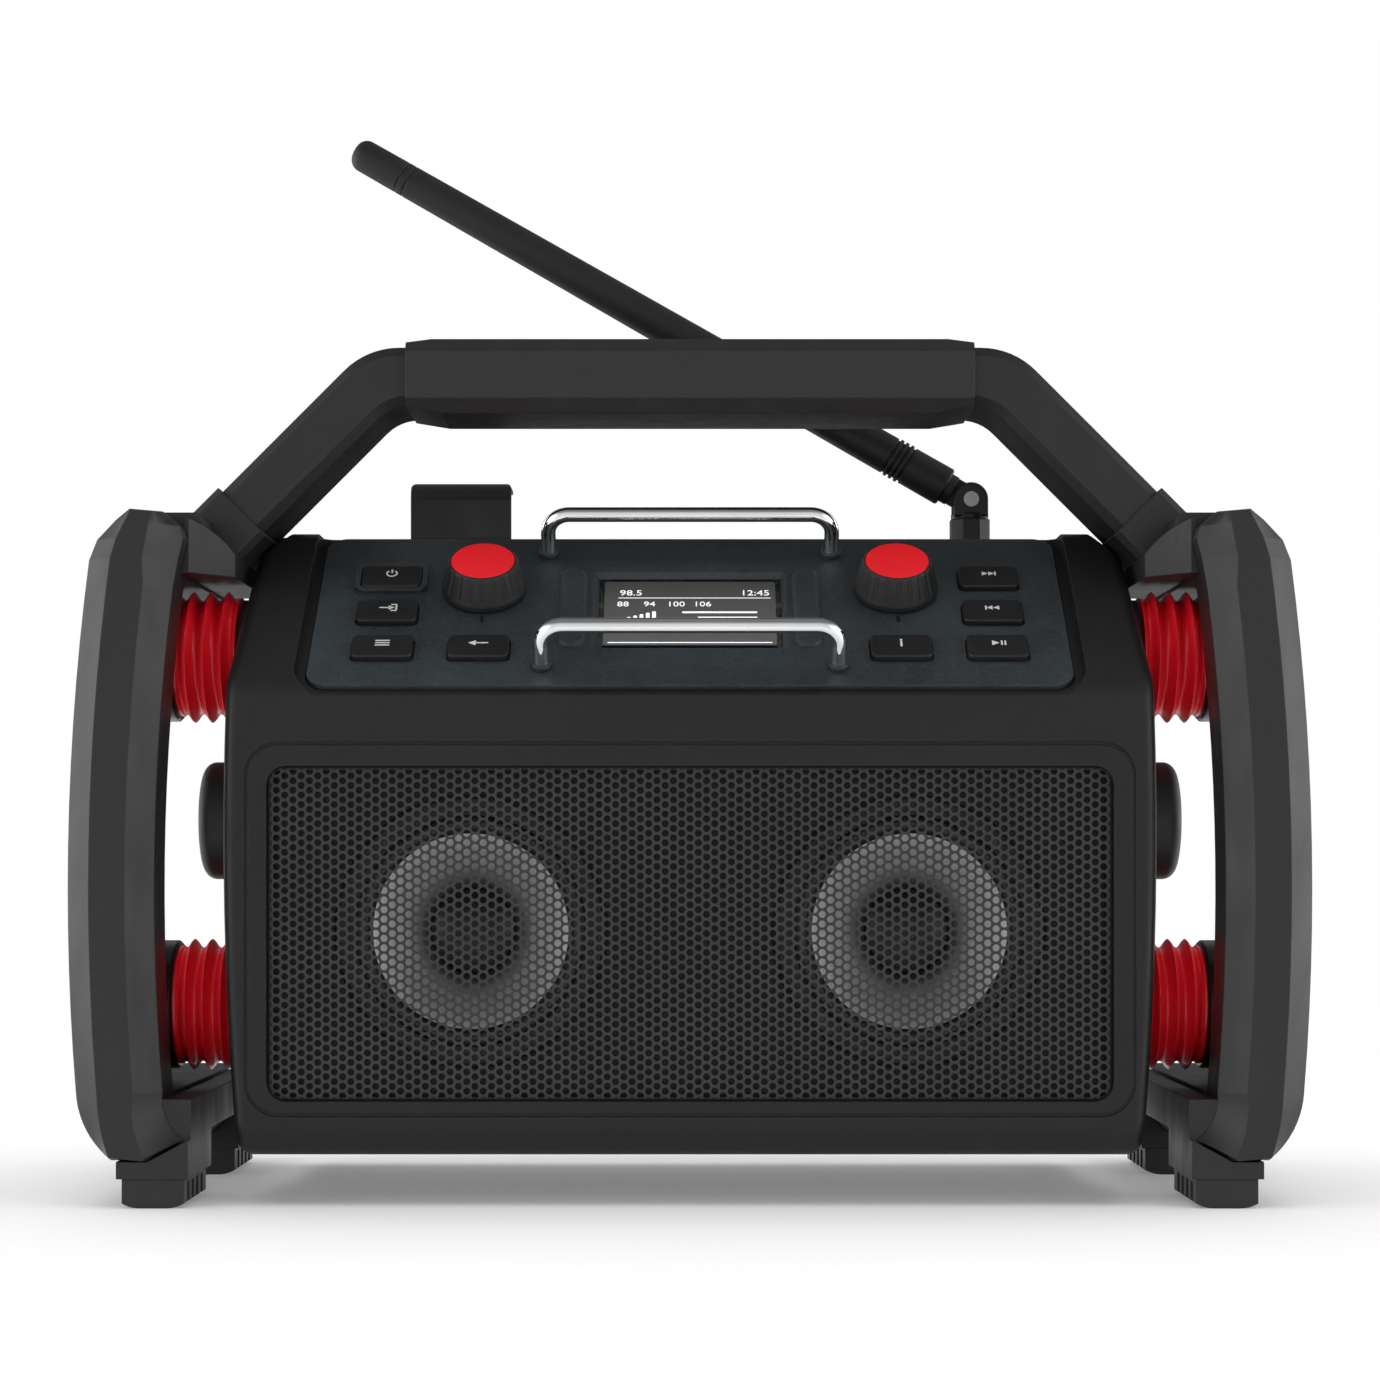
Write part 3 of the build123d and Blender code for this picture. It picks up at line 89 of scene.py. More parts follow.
class Nodes:
    """A small hand on a node tree."""

    def __init__(self, tree: bpy.types.NodeTree) -> None:
        """Takes a node tree to work on."""
        self.tree = tree

    def node(self, kind: str, **settings: object) -> bpy.types.Node:
        """Adds a node.

        Args:
            kind: the node's Blender type.
            settings: its attributes.

        Returns:
            The node.
        """
        made = self.tree.nodes.new(kind)
        for key, value in settings.items():
            setattr(made, key, value)
        return made

    def join(self, source: bpy.types.NodeSocket, target: bpy.types.NodeSocket) -> None:
        """Links an output to an input."""
        self.tree.links.new(source, target)

    def math(self, operation: str, *terms: bpy.types.NodeSocket | float) -> bpy.types.NodeSocket:
        """Works out a sum, a product or another operation.

        Args:
            operation: the Math node's operation.
            terms: sockets or plain numbers.

        Returns:
            The result.
        """
        made = self.node("ShaderNodeMath", operation=operation)
        for socket, term in zip(made.inputs, terms):
            if isinstance(term, (int, float)):
                socket.default_value = term
            else:
                self.join(term, socket)
        return made.outputs["Value"]

    def between(
        self,
        value: bpy.types.NodeSocket,
        low: float,
        high: float,
        out_low: float = 0.0,
        out_high: float = 1.0,
        soft: bool = False,
    ) -> bpy.types.NodeSocket:
        """Maps one range of a value to another, clamped.

        Args:
            value: the value to map.
            low: the start of its range.
            high: the end of its range.
            out_low: what the start becomes.
            out_high: what the end becomes.
            soft: true for a ramp that eases in and out.

        Returns:
            The mapped value.
        """
        made = self.node("ShaderNodeMapRange", interpolation_type="SMOOTHSTEP" if soft else "LINEAR")
        limits = {"From Min": low, "From Max": high, "To Min": out_low, "To Max": out_high}
        for socket, number in limits.items():
            made.inputs[socket].default_value = number
        self.join(value, made.inputs["Value"])
        return made.outputs["Result"]

    def seen(self, *rays: str) -> bpy.types.NodeSocket:
        """Tells the rays of some kinds from the rest.

        Args:
            rays: outputs of the Light Path node.

        Returns:
            One for a ray of any of these kinds, and zero for the rest.
        """
        path = self.node("ShaderNodeLightPath")
        total = path.outputs[rays[0]]
        for ray in rays[1:]:
            total = self.math("MAXIMUM", total, path.outputs[ray])
        return total


class Shader(Nodes):
    """A hand on one material."""

    EDGE_COSINES: tuple[float, float] = (0.99, 0.86)
    WEAR_SCALE: float = 110.0
    WEAR_RANGE: tuple[float, float] = (0.4, 0.62)
    WEAR_LEAST: float = 0.15
    BEVEL_SAMPLES: int = 6

    def __init__(self, name: str) -> None:
        """Starts an empty material that has a Principled shader.

        Args:
            name: the material's name.
        """
        self.material = bpy.data.materials.new(name)
        self.material.use_nodes = True
        super().__init__(self.material.node_tree)
        self.surface = self.tree.nodes["Principled BSDF"]
        self.output = self.tree.nodes["Material Output"]

    def place(self) -> bpy.types.NodeSocket:
        """The object coordinates, in metres."""
        return self.node("ShaderNodeTexCoord").outputs["Object"]

    def part(self, axis: str) -> bpy.types.NodeSocket:
        """Picks one of the object coordinates.

        Args:
            axis: X, Y or Z.

        Returns:
            The coordinate, in metres.
        """
        split = self.node("ShaderNodeSeparateXYZ")
        self.join(self.place(), split.inputs["Vector"])
        return split.outputs[axis]

    def noise(
        self, scale: float, detail: float = 3.0, stretch: Sequence[float] | None = None
    ) -> bpy.types.NodeSocket:
        """A noise over the object coordinates.

        Args:
            scale: cycles in a metre.
            detail: the number of finer layers.
            stretch: the scale along each axis, where the noise is drawn out.

        Returns:
            The noise's value, 0 to 1.
        """
        made = self.node("ShaderNodeTexNoise")
        made.inputs["Scale"].default_value = scale
        made.inputs["Detail"].default_value = detail
        source = self.place()
        if stretch is not None:
            mapping = self.node("ShaderNodeMapping")
            mapping.inputs["Scale"].default_value = stretch
            self.join(source, mapping.inputs["Vector"])
            source = mapping.outputs["Vector"]
        self.join(source, made.inputs["Vector"])
        return made.outputs["Fac"]

    def cells(self, scale: float) -> bpy.types.NodeSocket:
        """Small rounded cells, as a spark-eroded mould leaves them.

        Args:
            scale: cells in a metre.

        Returns:
            The distance to the middle of the cell.
        """
        made = self.node("ShaderNodeTexVoronoi")
        made.inputs["Scale"].default_value = scale
        self.join(self.place(), made.inputs["Vector"])
        return made.outputs["Distance"]

    def rounded(self, radius: float) -> bpy.types.NodeSocket:
        """The surface's normal, eased over its sharp edges.

        Args:
            radius: the edge round.

        Returns:
            The normal.
        """
        made = self.node("ShaderNodeBevel", samples=self.BEVEL_SAMPLES)
        made.inputs["Radius"].default_value = radius
        return made.outputs["Normal"]

    def edges(self, radius: float) -> bpy.types.NodeSocket:
        """How near a point is to an edge.

        Args:
            radius: how far from the edge it is felt.

        Returns:
            0 on an open face and 1 on the edge.
        """
        turn = self.node("ShaderNodeVectorMath", operation="DOT_PRODUCT")
        self.join(self.rounded(radius), turn.inputs[0])
        self.join(self.node("ShaderNodeNewGeometry").outputs["Normal"], turn.inputs[1])
        return self.between(turn.outputs["Value"], *self.EDGE_COSINES)

    def blend(
        self,
        factor: bpy.types.NodeSocket,
        first: Sequence[float] | bpy.types.NodeSocket,
        second: Sequence[float],
    ) -> bpy.types.NodeSocket:
        """A colour between two, by a factor.

        Args:
            factor: 0 for the first colour and 1 for the second.
            first: linear RGB, or a colour's socket.
            second: linear RGB.

        Returns:
            The blended colour.
        """
        made = self.node("ShaderNodeMix", data_type="RGBA")
        if isinstance(first, bpy.types.NodeSocket):
            self.join(first, made.inputs["A"])
        else:
            made.inputs["A"].default_value = (*first, 1.0)
        made.inputs["B"].default_value = (*second, 1.0)
        self.join(factor, made.inputs["Factor"])
        return made.outputs["Result"]

    def sum(
        self, first: bpy.types.NodeSocket, second: bpy.types.NodeSocket, share: float
    ) -> bpy.types.NodeSocket:
        """Adds a share of one value to another."""
        return self.math("MULTIPLY_ADD", second, share, first)

    def relief(
        self, height: bpy.types.NodeSocket, depth: float, rounding: float = 0.0, strength: float = 1.0
    ) -> None:
        """Gives the surface a relief, and eases its edges.

        Args:
            height: the relief, 0 to 1.
            depth: its depth in metres.
            rounding: the radius of the edges, or 0 for sharp ones.
            strength: how much of the relief is felt.
        """
        made = self.node("ShaderNodeBump")
        made.inputs["Distance"].default_value = depth
        made.inputs["Strength"].default_value = strength
        self.join(height, made.inputs["Height"])
        if rounding > 0:
            self.join(self.rounded(rounding), made.inputs["Normal"])
        self.join(made.outputs["Normal"], self.surface.inputs["Normal"])

    def wear(self, tone: bpy.types.NodeSocket, reach: float, colour: Sequence[float]) -> bpy.types.NodeSocket:
        """Rubs the edges paler, in broken patches.

        Args:
            tone: the colour without wear.
            reach: how far from an edge the wear goes.
            colour: the colour of the rubbed edge.

        Returns:
            The worn colour.
        """
        dents = self.noise(scale=self.WEAR_SCALE, detail=5.0)
        patches = self.between(dents, *self.WEAR_RANGE, self.WEAR_LEAST, 1.0)
        return self.blend(self.math("MULTIPLY", self.edges(reach), patches), tone, colour)

    def colour(self, tone: bpy.types.NodeSocket) -> None:
        """Gives the surface its colour."""
        self.join(tone, self.surface.inputs["Base Color"])

    def roughness(self, value: bpy.types.NodeSocket) -> None:
        """Gives the surface its roughness."""
        self.join(value, self.surface.inputs["Roughness"])

    def set(self, **numbers: object) -> None:
        """Sets the shader's own sockets, named with underscores for spaces."""
        for name, number in numbers.items():
            self.surface.inputs[name.replace("_", " ")].default_value = number


def scaled(colour: Sequence[float], by: float) -> tuple[float, ...]:
    """A colour made lighter or darker.

    Args:
        colour: linear RGB.
        by: the factor.

    Returns:
        The changed colour.
    """
    return tuple(min(1.0, part * by) for part in colour)


# --------------------------------------------------------------------------- finishes


@dataclass(frozen=True)
class MouldedPlastic:
    """Satin injection-moulded plastic with a fine eroded grain, faint flow marks and rubbed edges."""

    name: str
    colour: tuple[float, float, float]
    roughness: float = 0.45
    grain_size: float = 0.5 * MM
    grain_depth: float = 0.02 * MM
    mottle: float = 0.12
    gloss: float = 0.5
    edge_round: float = 0.5 * MM
    edge_wear: float = 1.7
    cloud_scale: float = 24.0
    specks_per_grain: float = 2.6
    speck_share: float = 0.6
    speck_height: float = 0.5
    tone_range: tuple[float, float] = (0.5, 1.1)
    scuff_scale: float = 90.0
    scuff_stretch: tuple[float, float, float] = (1.0, 1.0, 0.35)
    scuff_range: tuple[float, float] = (0.3, 0.75)
    polished: float = 0.05
    scuffed: float = 0.08

    def make(self) -> bpy.types.Material:
        """Builds the material.

        Returns:
            The finished material.
        """
        shader = Shader(self.name)
        cloud = shader.noise(scale=self.cloud_scale, detail=4.0)
        speck = shader.noise(scale=1 / (self.specks_per_grain * self.grain_size), detail=2.0)
        factor = shader.between(shader.sum(cloud, speck, self.speck_share), *self.tone_range)
        low, high = scaled(self.colour, 1 - self.mottle), scaled(self.colour, 1 + self.mottle)
        tone = shader.blend(factor, low, high)
        shader.colour(shader.wear(tone, 2 * self.edge_round, scaled(self.colour, self.edge_wear)))
        scuff = shader.noise(scale=self.scuff_scale, detail=6.0, stretch=self.scuff_stretch)
        smooth, rough = self.roughness - self.polished, self.roughness + self.scuffed
        shader.roughness(shader.between(scuff, *self.scuff_range, smooth, rough))
        grain = shader.sum(shader.cells(1 / self.grain_size), speck, self.speck_height)
        shader.relief(grain, self.grain_depth, self.edge_round)
        shader.set(Specular_IOR_Level=self.gloss)
        return shader.material


@dataclass(frozen=True)
class Rubber:
    """Moulded rubber: a matte skin with a pale bloom and a soft grain."""

    name: str
    colour: tuple[float, float, float]
    roughness: float = 0.62
    bloom: float = 1.6
    grain_depth: float = 0.03 * MM
    shine: float = 0.0
    shine_roughness: float = 0.06
    gloss: float = 0.5
    edge_round: float = 0.6 * MM
    dust_scale: float = 140.0
    bloom_range: tuple[float, float] = (0.45, 0.8)
    dust_range: tuple[float, float] = (0.3, 0.7)
    unevenness: float = 0.06
    grain_scale: float = 1600.0

    def make(self) -> bpy.types.Material:
        """Builds the material.

        Returns:
            The finished material.
        """
        shader = Shader(self.name)
        dust = shader.noise(scale=self.dust_scale, detail=5.0)
        factor = shader.between(dust, *self.bloom_range)
        shader.colour(shader.blend(factor, self.colour, scaled(self.colour, self.bloom)))
        smooth, rough = self.roughness - self.unevenness, self.roughness + self.unevenness
        shader.roughness(shader.between(dust, *self.dust_range, smooth, rough))
        grain = shader.noise(scale=self.grain_scale, detail=2.0)
        shader.relief(grain, self.grain_depth, self.edge_round)
        shader.set(
            Coat_Weight=self.shine, Coat_Roughness=self.shine_roughness, Specular_IOR_Level=self.gloss
        )
        return shader.material


@dataclass(frozen=True)
class Metal:
    """Bare or plated metal with hairlines along one axis."""

    name: str
    colour: tuple[float, float, float]
    roughness: float = 0.2
    hairline: float = 0.05
    hairline_stretch: tuple[float, float, float] = (0.05, 1.0, 1.0)
    hairline_scale: float = 2200.0
    hairline_range: tuple[float, float] = (0.25, 0.75)
    hairline_depth: float = 0.002 * MM
    hairline_strength: float = 0.4
    cloud_scale: float = 60.0
    cloud_range: tuple[float, float] = (0.35, 0.7)
    cloud_dark: float = 0.92

    def make(self) -> bpy.types.Material:
        """Builds the material.

        Returns:
            The finished material.
        """
        shader = Shader(self.name)
        shader.set(Metallic=1.0)
        lines = shader.noise(scale=self.hairline_scale, detail=2.0, stretch=self.hairline_stretch)
        cloud = shader.between(shader.noise(scale=self.cloud_scale, detail=3.0), *self.cloud_range)
        shader.colour(shader.blend(cloud, scaled(self.colour, self.cloud_dark), self.colour))
        rough = self.roughness + self.hairline
        shader.roughness(shader.between(lines, *self.hairline_range, self.roughness, rough))
        shader.relief(lines, self.hairline_depth, strength=self.hairline_strength)
        return shader.material


@dataclass(frozen=True)
class PaintedMetal:
    """Powder-coated sheet: a dark coat with a fine orange-peel relief."""

    name: str
    colour: tuple[float, float, float]
    roughness: float = 0.4
    peel_size: float = 0.7 * MM
    peel_depth: float = 0.015 * MM
    peel_range: tuple[float, float] = (0.3, 0.7)
    crest_polish: float = 0.05
    valley_dust: float = 0.07
    cloud_scale: float = 30.0
    cloud_range: tuple[float, float] = (0.35, 0.7)
    mottle: float = 0.15

    def make(self) -> bpy.types.Material:
        """Builds the material.

        Returns:
            The finished material.
        """
        shader = Shader(self.name)
        peel = shader.noise(scale=1 / self.peel_size, detail=2.0)
        cloud = shader.between(shader.noise(scale=self.cloud_scale, detail=4.0), *self.cloud_range)
        low, high = scaled(self.colour, 1 - self.mottle), scaled(self.colour, 1 + self.mottle)
        shader.colour(shader.blend(cloud, low, high))
        smooth, rough = self.roughness - self.crest_polish, self.roughness + self.valley_dust
        shader.roughness(shader.between(peel, *self.peel_range, smooth, rough))
        shader.relief(peel, self.peel_depth)
        return shader.material


@dataclass(frozen=True)
class SpunCone:
    """A spun metal loudspeaker cone with fine turning rings, whose colour is painted light: a painted highlight at
    its rim and painted shade round the cap.
    """

    name: str
    centre_x: float
    centre_z: float
    rim_radius: float
    throat_radius: float
    # Painted light: the pale rim colour is a painted highlight, the middle colour a painted half-shade, and the
    # dark throat colour painted shade deep in the cone.
    rim: tuple[float, float, float] = (0.96, 0.96, 0.97)
    middle: tuple[float, float, float] = (0.6, 0.6, 0.61)
    painted_throat_shade: tuple[float, float, float] = (0.03, 0.03, 0.031)
    ring_pitch: float = 0.5 * MM
    ring_depth: float = 0.01 * MM
    ring_roughness: tuple[float, float] = (0.42, 0.55)
    metallic: float = 0.8

    def make(self) -> bpy.types.Material:
        """Builds the material.

        Returns:
            The finished material.
        """
        shader = Shader(self.name)
        across = shader.math("SUBTRACT", shader.math("ABSOLUTE", shader.part("X")), self.centre_x)
        up = shader.math("SUBTRACT", shader.part("Z"), self.centre_z)
        squares = shader.math("MULTIPLY_ADD", across, across, shader.math("MULTIPLY", up, up))
        radius = shader.math("SQRT", squares)
        half_way = (self.rim_radius + self.throat_radius) / 2
        # The colour runs from painted shade round the cap, through the middle colour, to a painted highlight at
        # the rim.
        deep = shader.between(radius, self.throat_radius, half_way, soft=True)
        rim_highlight_share = shader.between(radius, half_way, self.rim_radius, soft=True)
        shader.colour(shader.blend(rim_highlight_share, shader.blend(deep, self.painted_throat_shade, self.middle), self.rim))
        rings = shader.math("SINE", shader.math("MULTIPLY", radius, tau / self.ring_pitch))
        shader.roughness(shader.between(rings, -1.0, 1.0, *self.ring_roughness))
        shader.relief(rings, self.ring_depth)
        shader.set(Metallic=self.metallic)
        return shader.material


@dataclass(frozen=True)
class ClearWindow:
    """A clear, slightly smoked window."""

    name: str
    tint: tuple[float, float, float] = (0.86, 0.88, 0.9)
    film_scale: float = 70.0
    film_range: tuple[float, float] = (0.3, 0.7)
    film_dark: float = 0.97
    smear_range: tuple[float, float] = (0.4, 0.8)
    smear_roughness: tuple[float, float] = (0.01, 0.04)
    refraction: float = 1.25

    def make(self) -> bpy.types.Material:
        """Builds the material.

        Returns:
            The finished material.
        """
        shader = Shader(self.name)
        film = shader.noise(scale=self.film_scale, detail=4.0)
        factor = shader.between(film, *self.film_range)
        shader.colour(shader.blend(factor, scaled(self.tint, self.film_dark), self.tint))
        shader.roughness(shader.between(film, *self.smear_range, *self.smear_roughness))
        shader.set(Transmission_Weight=1.0, IOR=self.refraction)
        return shader.material


@dataclass(frozen=True)
class CircuitBoard:
    """Green solder mask with buried tracks."""

    name: str
    colour: tuple[float, float, float] = (0.01, 0.09, 0.04)
    roughness: float = 0.35
    track_scale: float = 160.0
    track_width: float = 0.05
    track_tone: float = 1.9
    track_height: float = 0.03 * MM

    def make(self) -> bpy.types.Material:
        """Builds the material.

        Returns:
            The finished material.
        """
        shader = Shader(self.name)
        tracks = shader.node("ShaderNodeTexBrick")
        tracks.inputs["Scale"].default_value = self.track_scale
        tracks.inputs["Mortar Size"].default_value = self.track_width
        shader.join(shader.place(), tracks.inputs["Vector"])
        factor = shader.between(tracks.outputs["Fac"], 0.0, 1.0)
        shader.colour(shader.blend(factor, self.colour, scaled(self.colour, self.track_tone)))
        shader.relief(factor, self.track_height)
        shader.set(Roughness=self.roughness)
        return shader.material


@dataclass(frozen=True)
class Ink:
    """Pad-printed ink, a little uneven."""

    name: str
    colour: tuple[float, float, float]
    glow: float = 0.0
    patch_scale: float = 900.0
    thin_range: tuple[float, float] = (0.35, 0.7)
    thin_tone: float = 0.86
    patch_range: tuple[float, float] = (0.3, 0.7)
    patch_roughness: tuple[float, float] = (0.45, 0.6)

    def make(self) -> bpy.types.Material:
        """Builds the material.

        Returns:
            The finished material.
        """
        shader = Shader(self.name)
        patch = shader.noise(scale=self.patch_scale, detail=3.0)
        factor = shader.between(patch, *self.thin_range)
        tone = shader.blend(factor, scaled(self.colour, self.thin_tone), self.colour)
        shader.colour(tone)
        if self.glow > 0:
            shader.join(tone, shader.surface.inputs["Emission Color"])
            shader.set(Emission_Strength=self.glow)
        shader.roughness(shader.between(patch, *self.patch_range, *self.patch_roughness))
        return shader.material


@dataclass(frozen=True)
class ScreenGlow:
    """A lit display: a dark ground that grows paler towards its lower edge."""

    name: str
    dark: tuple[float, float, float]
    pale: tuple[float, float, float]
    top_z: float
    bottom_z: float
    glow: float = 0.8
    roughness: float = 0.3
    grain_scale: float = 4000.0
    grain_share: float = 0.06

    def make(self) -> bpy.types.Material:
        """Builds the material.

        Returns:
            The finished material.
        """
        shader = Shader(self.name)
        height = shader.between(shader.part("Z"), self.top_z, self.bottom_z)
        grain = shader.noise(scale=self.grain_scale, detail=1.0)
        tone = shader.blend(shader.sum(height, grain, self.grain_share), self.dark, self.pale)
        shader.colour(tone)
        shader.join(tone, shader.surface.inputs["Emission Color"])
        shader.set(Emission_Strength=self.glow, Roughness=self.roughness)
        return shader.material


class Finishes:
    """Every finish of the radio, each made once."""

    def __init__(self) -> None:
        """Makes the finishes, under the names of the record's material slots."""
        display_low, display_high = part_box("display_window")
        cone_low, cone_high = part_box("right_speaker_cone")
        cap_low, cap_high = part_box("right_dust_cap")
        makers = {
            "housing_plastic": MouldedPlastic(
                "satin_black_housing", (0.0125, 0.0125, 0.0127), roughness=0.42, gloss=0.3
            ),
            "guard_plastic": MouldedPlastic(
                "satin_charcoal_guard", (0.0095, 0.0095, 0.0098), roughness=0.46
            ),
            "panel_plastic": MouldedPlastic(
                "blue_grey_panel",
                (0.0235, 0.0305, 0.0355),
                roughness=0.5,
                grain_size=0.55 * MM,
                grain_depth=0.09 * MM,
                mottle=0.5,
            ),
            "black_plastic": MouldedPlastic("black_plastic", (0.009, 0.009, 0.009), roughness=0.36),
            "battery_plastic": MouldedPlastic("battery_plastic", (0.03, 0.03, 0.03), roughness=0.5),
            "key_rubber": Rubber("button_rubber", (0.008, 0.008, 0.0078), roughness=0.5, bloom=1.2),
            "knob_rubber": Rubber("knob_rubber", (0.009, 0.009, 0.0088), roughness=0.5, bloom=1.3),
            "grip_rubber": Rubber("grip_rubber", (0.0125, 0.0125, 0.0128), roughness=0.5, bloom=1.3),
            "foot_rubber": Rubber("foot_rubber", (0.014, 0.014, 0.014), roughness=0.5),
            "bellows_rubber": Rubber(
                "red_bellows_rubber", (1.0, 0.008, 0.022), roughness=0.38, bloom=1.0, shine=0.5, gloss=0.3
            ),
            "surround_rubber": Rubber("surround_rubber", (0.008, 0.008, 0.008), roughness=0.45),
            "antenna_rubber": Rubber(
                "antenna_sleeve", (0.0115, 0.0115, 0.0118), roughness=0.55, bloom=1.3, gloss=0.35
            ),
            "red_disc": MouldedPlastic(
                "red_disc", (0.9, 0.012, 0.02), roughness=0.5, mottle=0.04, gloss=0.3, edge_wear=1.1
            ),
            "black_nickel": MouldedPlastic(
                "black_nickel",
                (0.012, 0.012, 0.0125),
                roughness=0.16,
                grain_depth=0.001 * MM,
                gloss=0.2,
                edge_round=0.9 * MM,
                edge_wear=1.0,
            ),
            "pivot_steel": Metal("pivot_steel", (0.22, 0.22, 0.225), roughness=0.12, hairline=0.05),
            "black_gloss": MouldedPlastic(
                "gloss_black", (0.008, 0.008, 0.008), roughness=0.2, grain_depth=0.002 * MM
            ),
            "display_glass": ClearWindow("display_window"),
            "board": CircuitBoard("circuit_board"),
            "chrome": Metal("bright_chrome", (0.86, 0.87, 0.88), roughness=0.03, hairline=0.03),
            "steel": Metal("plain_steel", (0.45, 0.45, 0.46), roughness=0.32, hairline=0.12),
            "basket_steel": PaintedMetal("basket_paint", (0.012, 0.012, 0.012), roughness=0.5),
            "magnet_iron": PaintedMetal("magnet_paint", (0.05, 0.05, 0.05), roughness=0.55),
            # The cone's colour is painted light: a painted highlight at the rim fading to painted shade round the
            # cap.
            "cone_aluminium": SpunCone(
                "lacquered_cone",
                centre_x=(cone_low.x + cone_high.x) / 2,
                centre_z=(cone_low.z + cone_high.z) / 2,
                rim_radius=(cone_high.x - cone_low.x) / 2,
                throat_radius=(cap_high.x - cap_low.x) / 2,
            ),
            # Painted shade: the rolled edge's near-black colour stands for the shadow in the groove round the
            # grille.
            "grille_edge": PaintedMetal("painted_shade_grille_edge", (0.005, 0.005, 0.005), roughness=0.6),
            "grille_metal": PaintedMetal("grille_coat", (0.024, 0.024, 0.025), roughness=0.42),
            "white_ink": Ink("white_print", (0.72, 0.72, 0.72)),
            "dark_ink": Ink("dark_groove", (0.003, 0.003, 0.003)),
            "screen_ink": Ink("screen_white", (0.9, 0.92, 0.95), glow=0.75),
            "screen_glow": ScreenGlow(
                "lit_screen",
                dark=(0.032, 0.032, 0.031),
                pale=(0.07, 0.07, 0.068),
                top_z=display_high.z,
                bottom_z=display_low.z,
            ),
        }
        self.made: dict[str, bpy.types.Material] = {slot: maker.make() for slot, maker in makers.items()}

    def give(self, piece: bpy.types.Object, slot: str) -> None:
        """Gives a piece one finish, all over.

        Args:
            piece: the mesh object.
            slot: the finish's name.
        """
        piece.data.materials.clear()
        piece.data.materials.append(self.made[slot])

    def dress_nodes(self) -> None:
        """Gives every carried-over CAD node the finish of its slot."""
        for part in frame["record"]["subparts"]:
            node = frame["nodes"].get(part["node"])
            if node is not None and part.get("material_slot") in self.made:
                self.give(node, part["material_slot"])
        for name in ("antenna_post", "antenna_fork"):
            self.give(frame["nodes"][name], "black_nickel")
        self.give(frame["nodes"]["antenna_pivot_screw"], "pivot_steel")


# --------------------------------------------------------------------------- modelling by hand


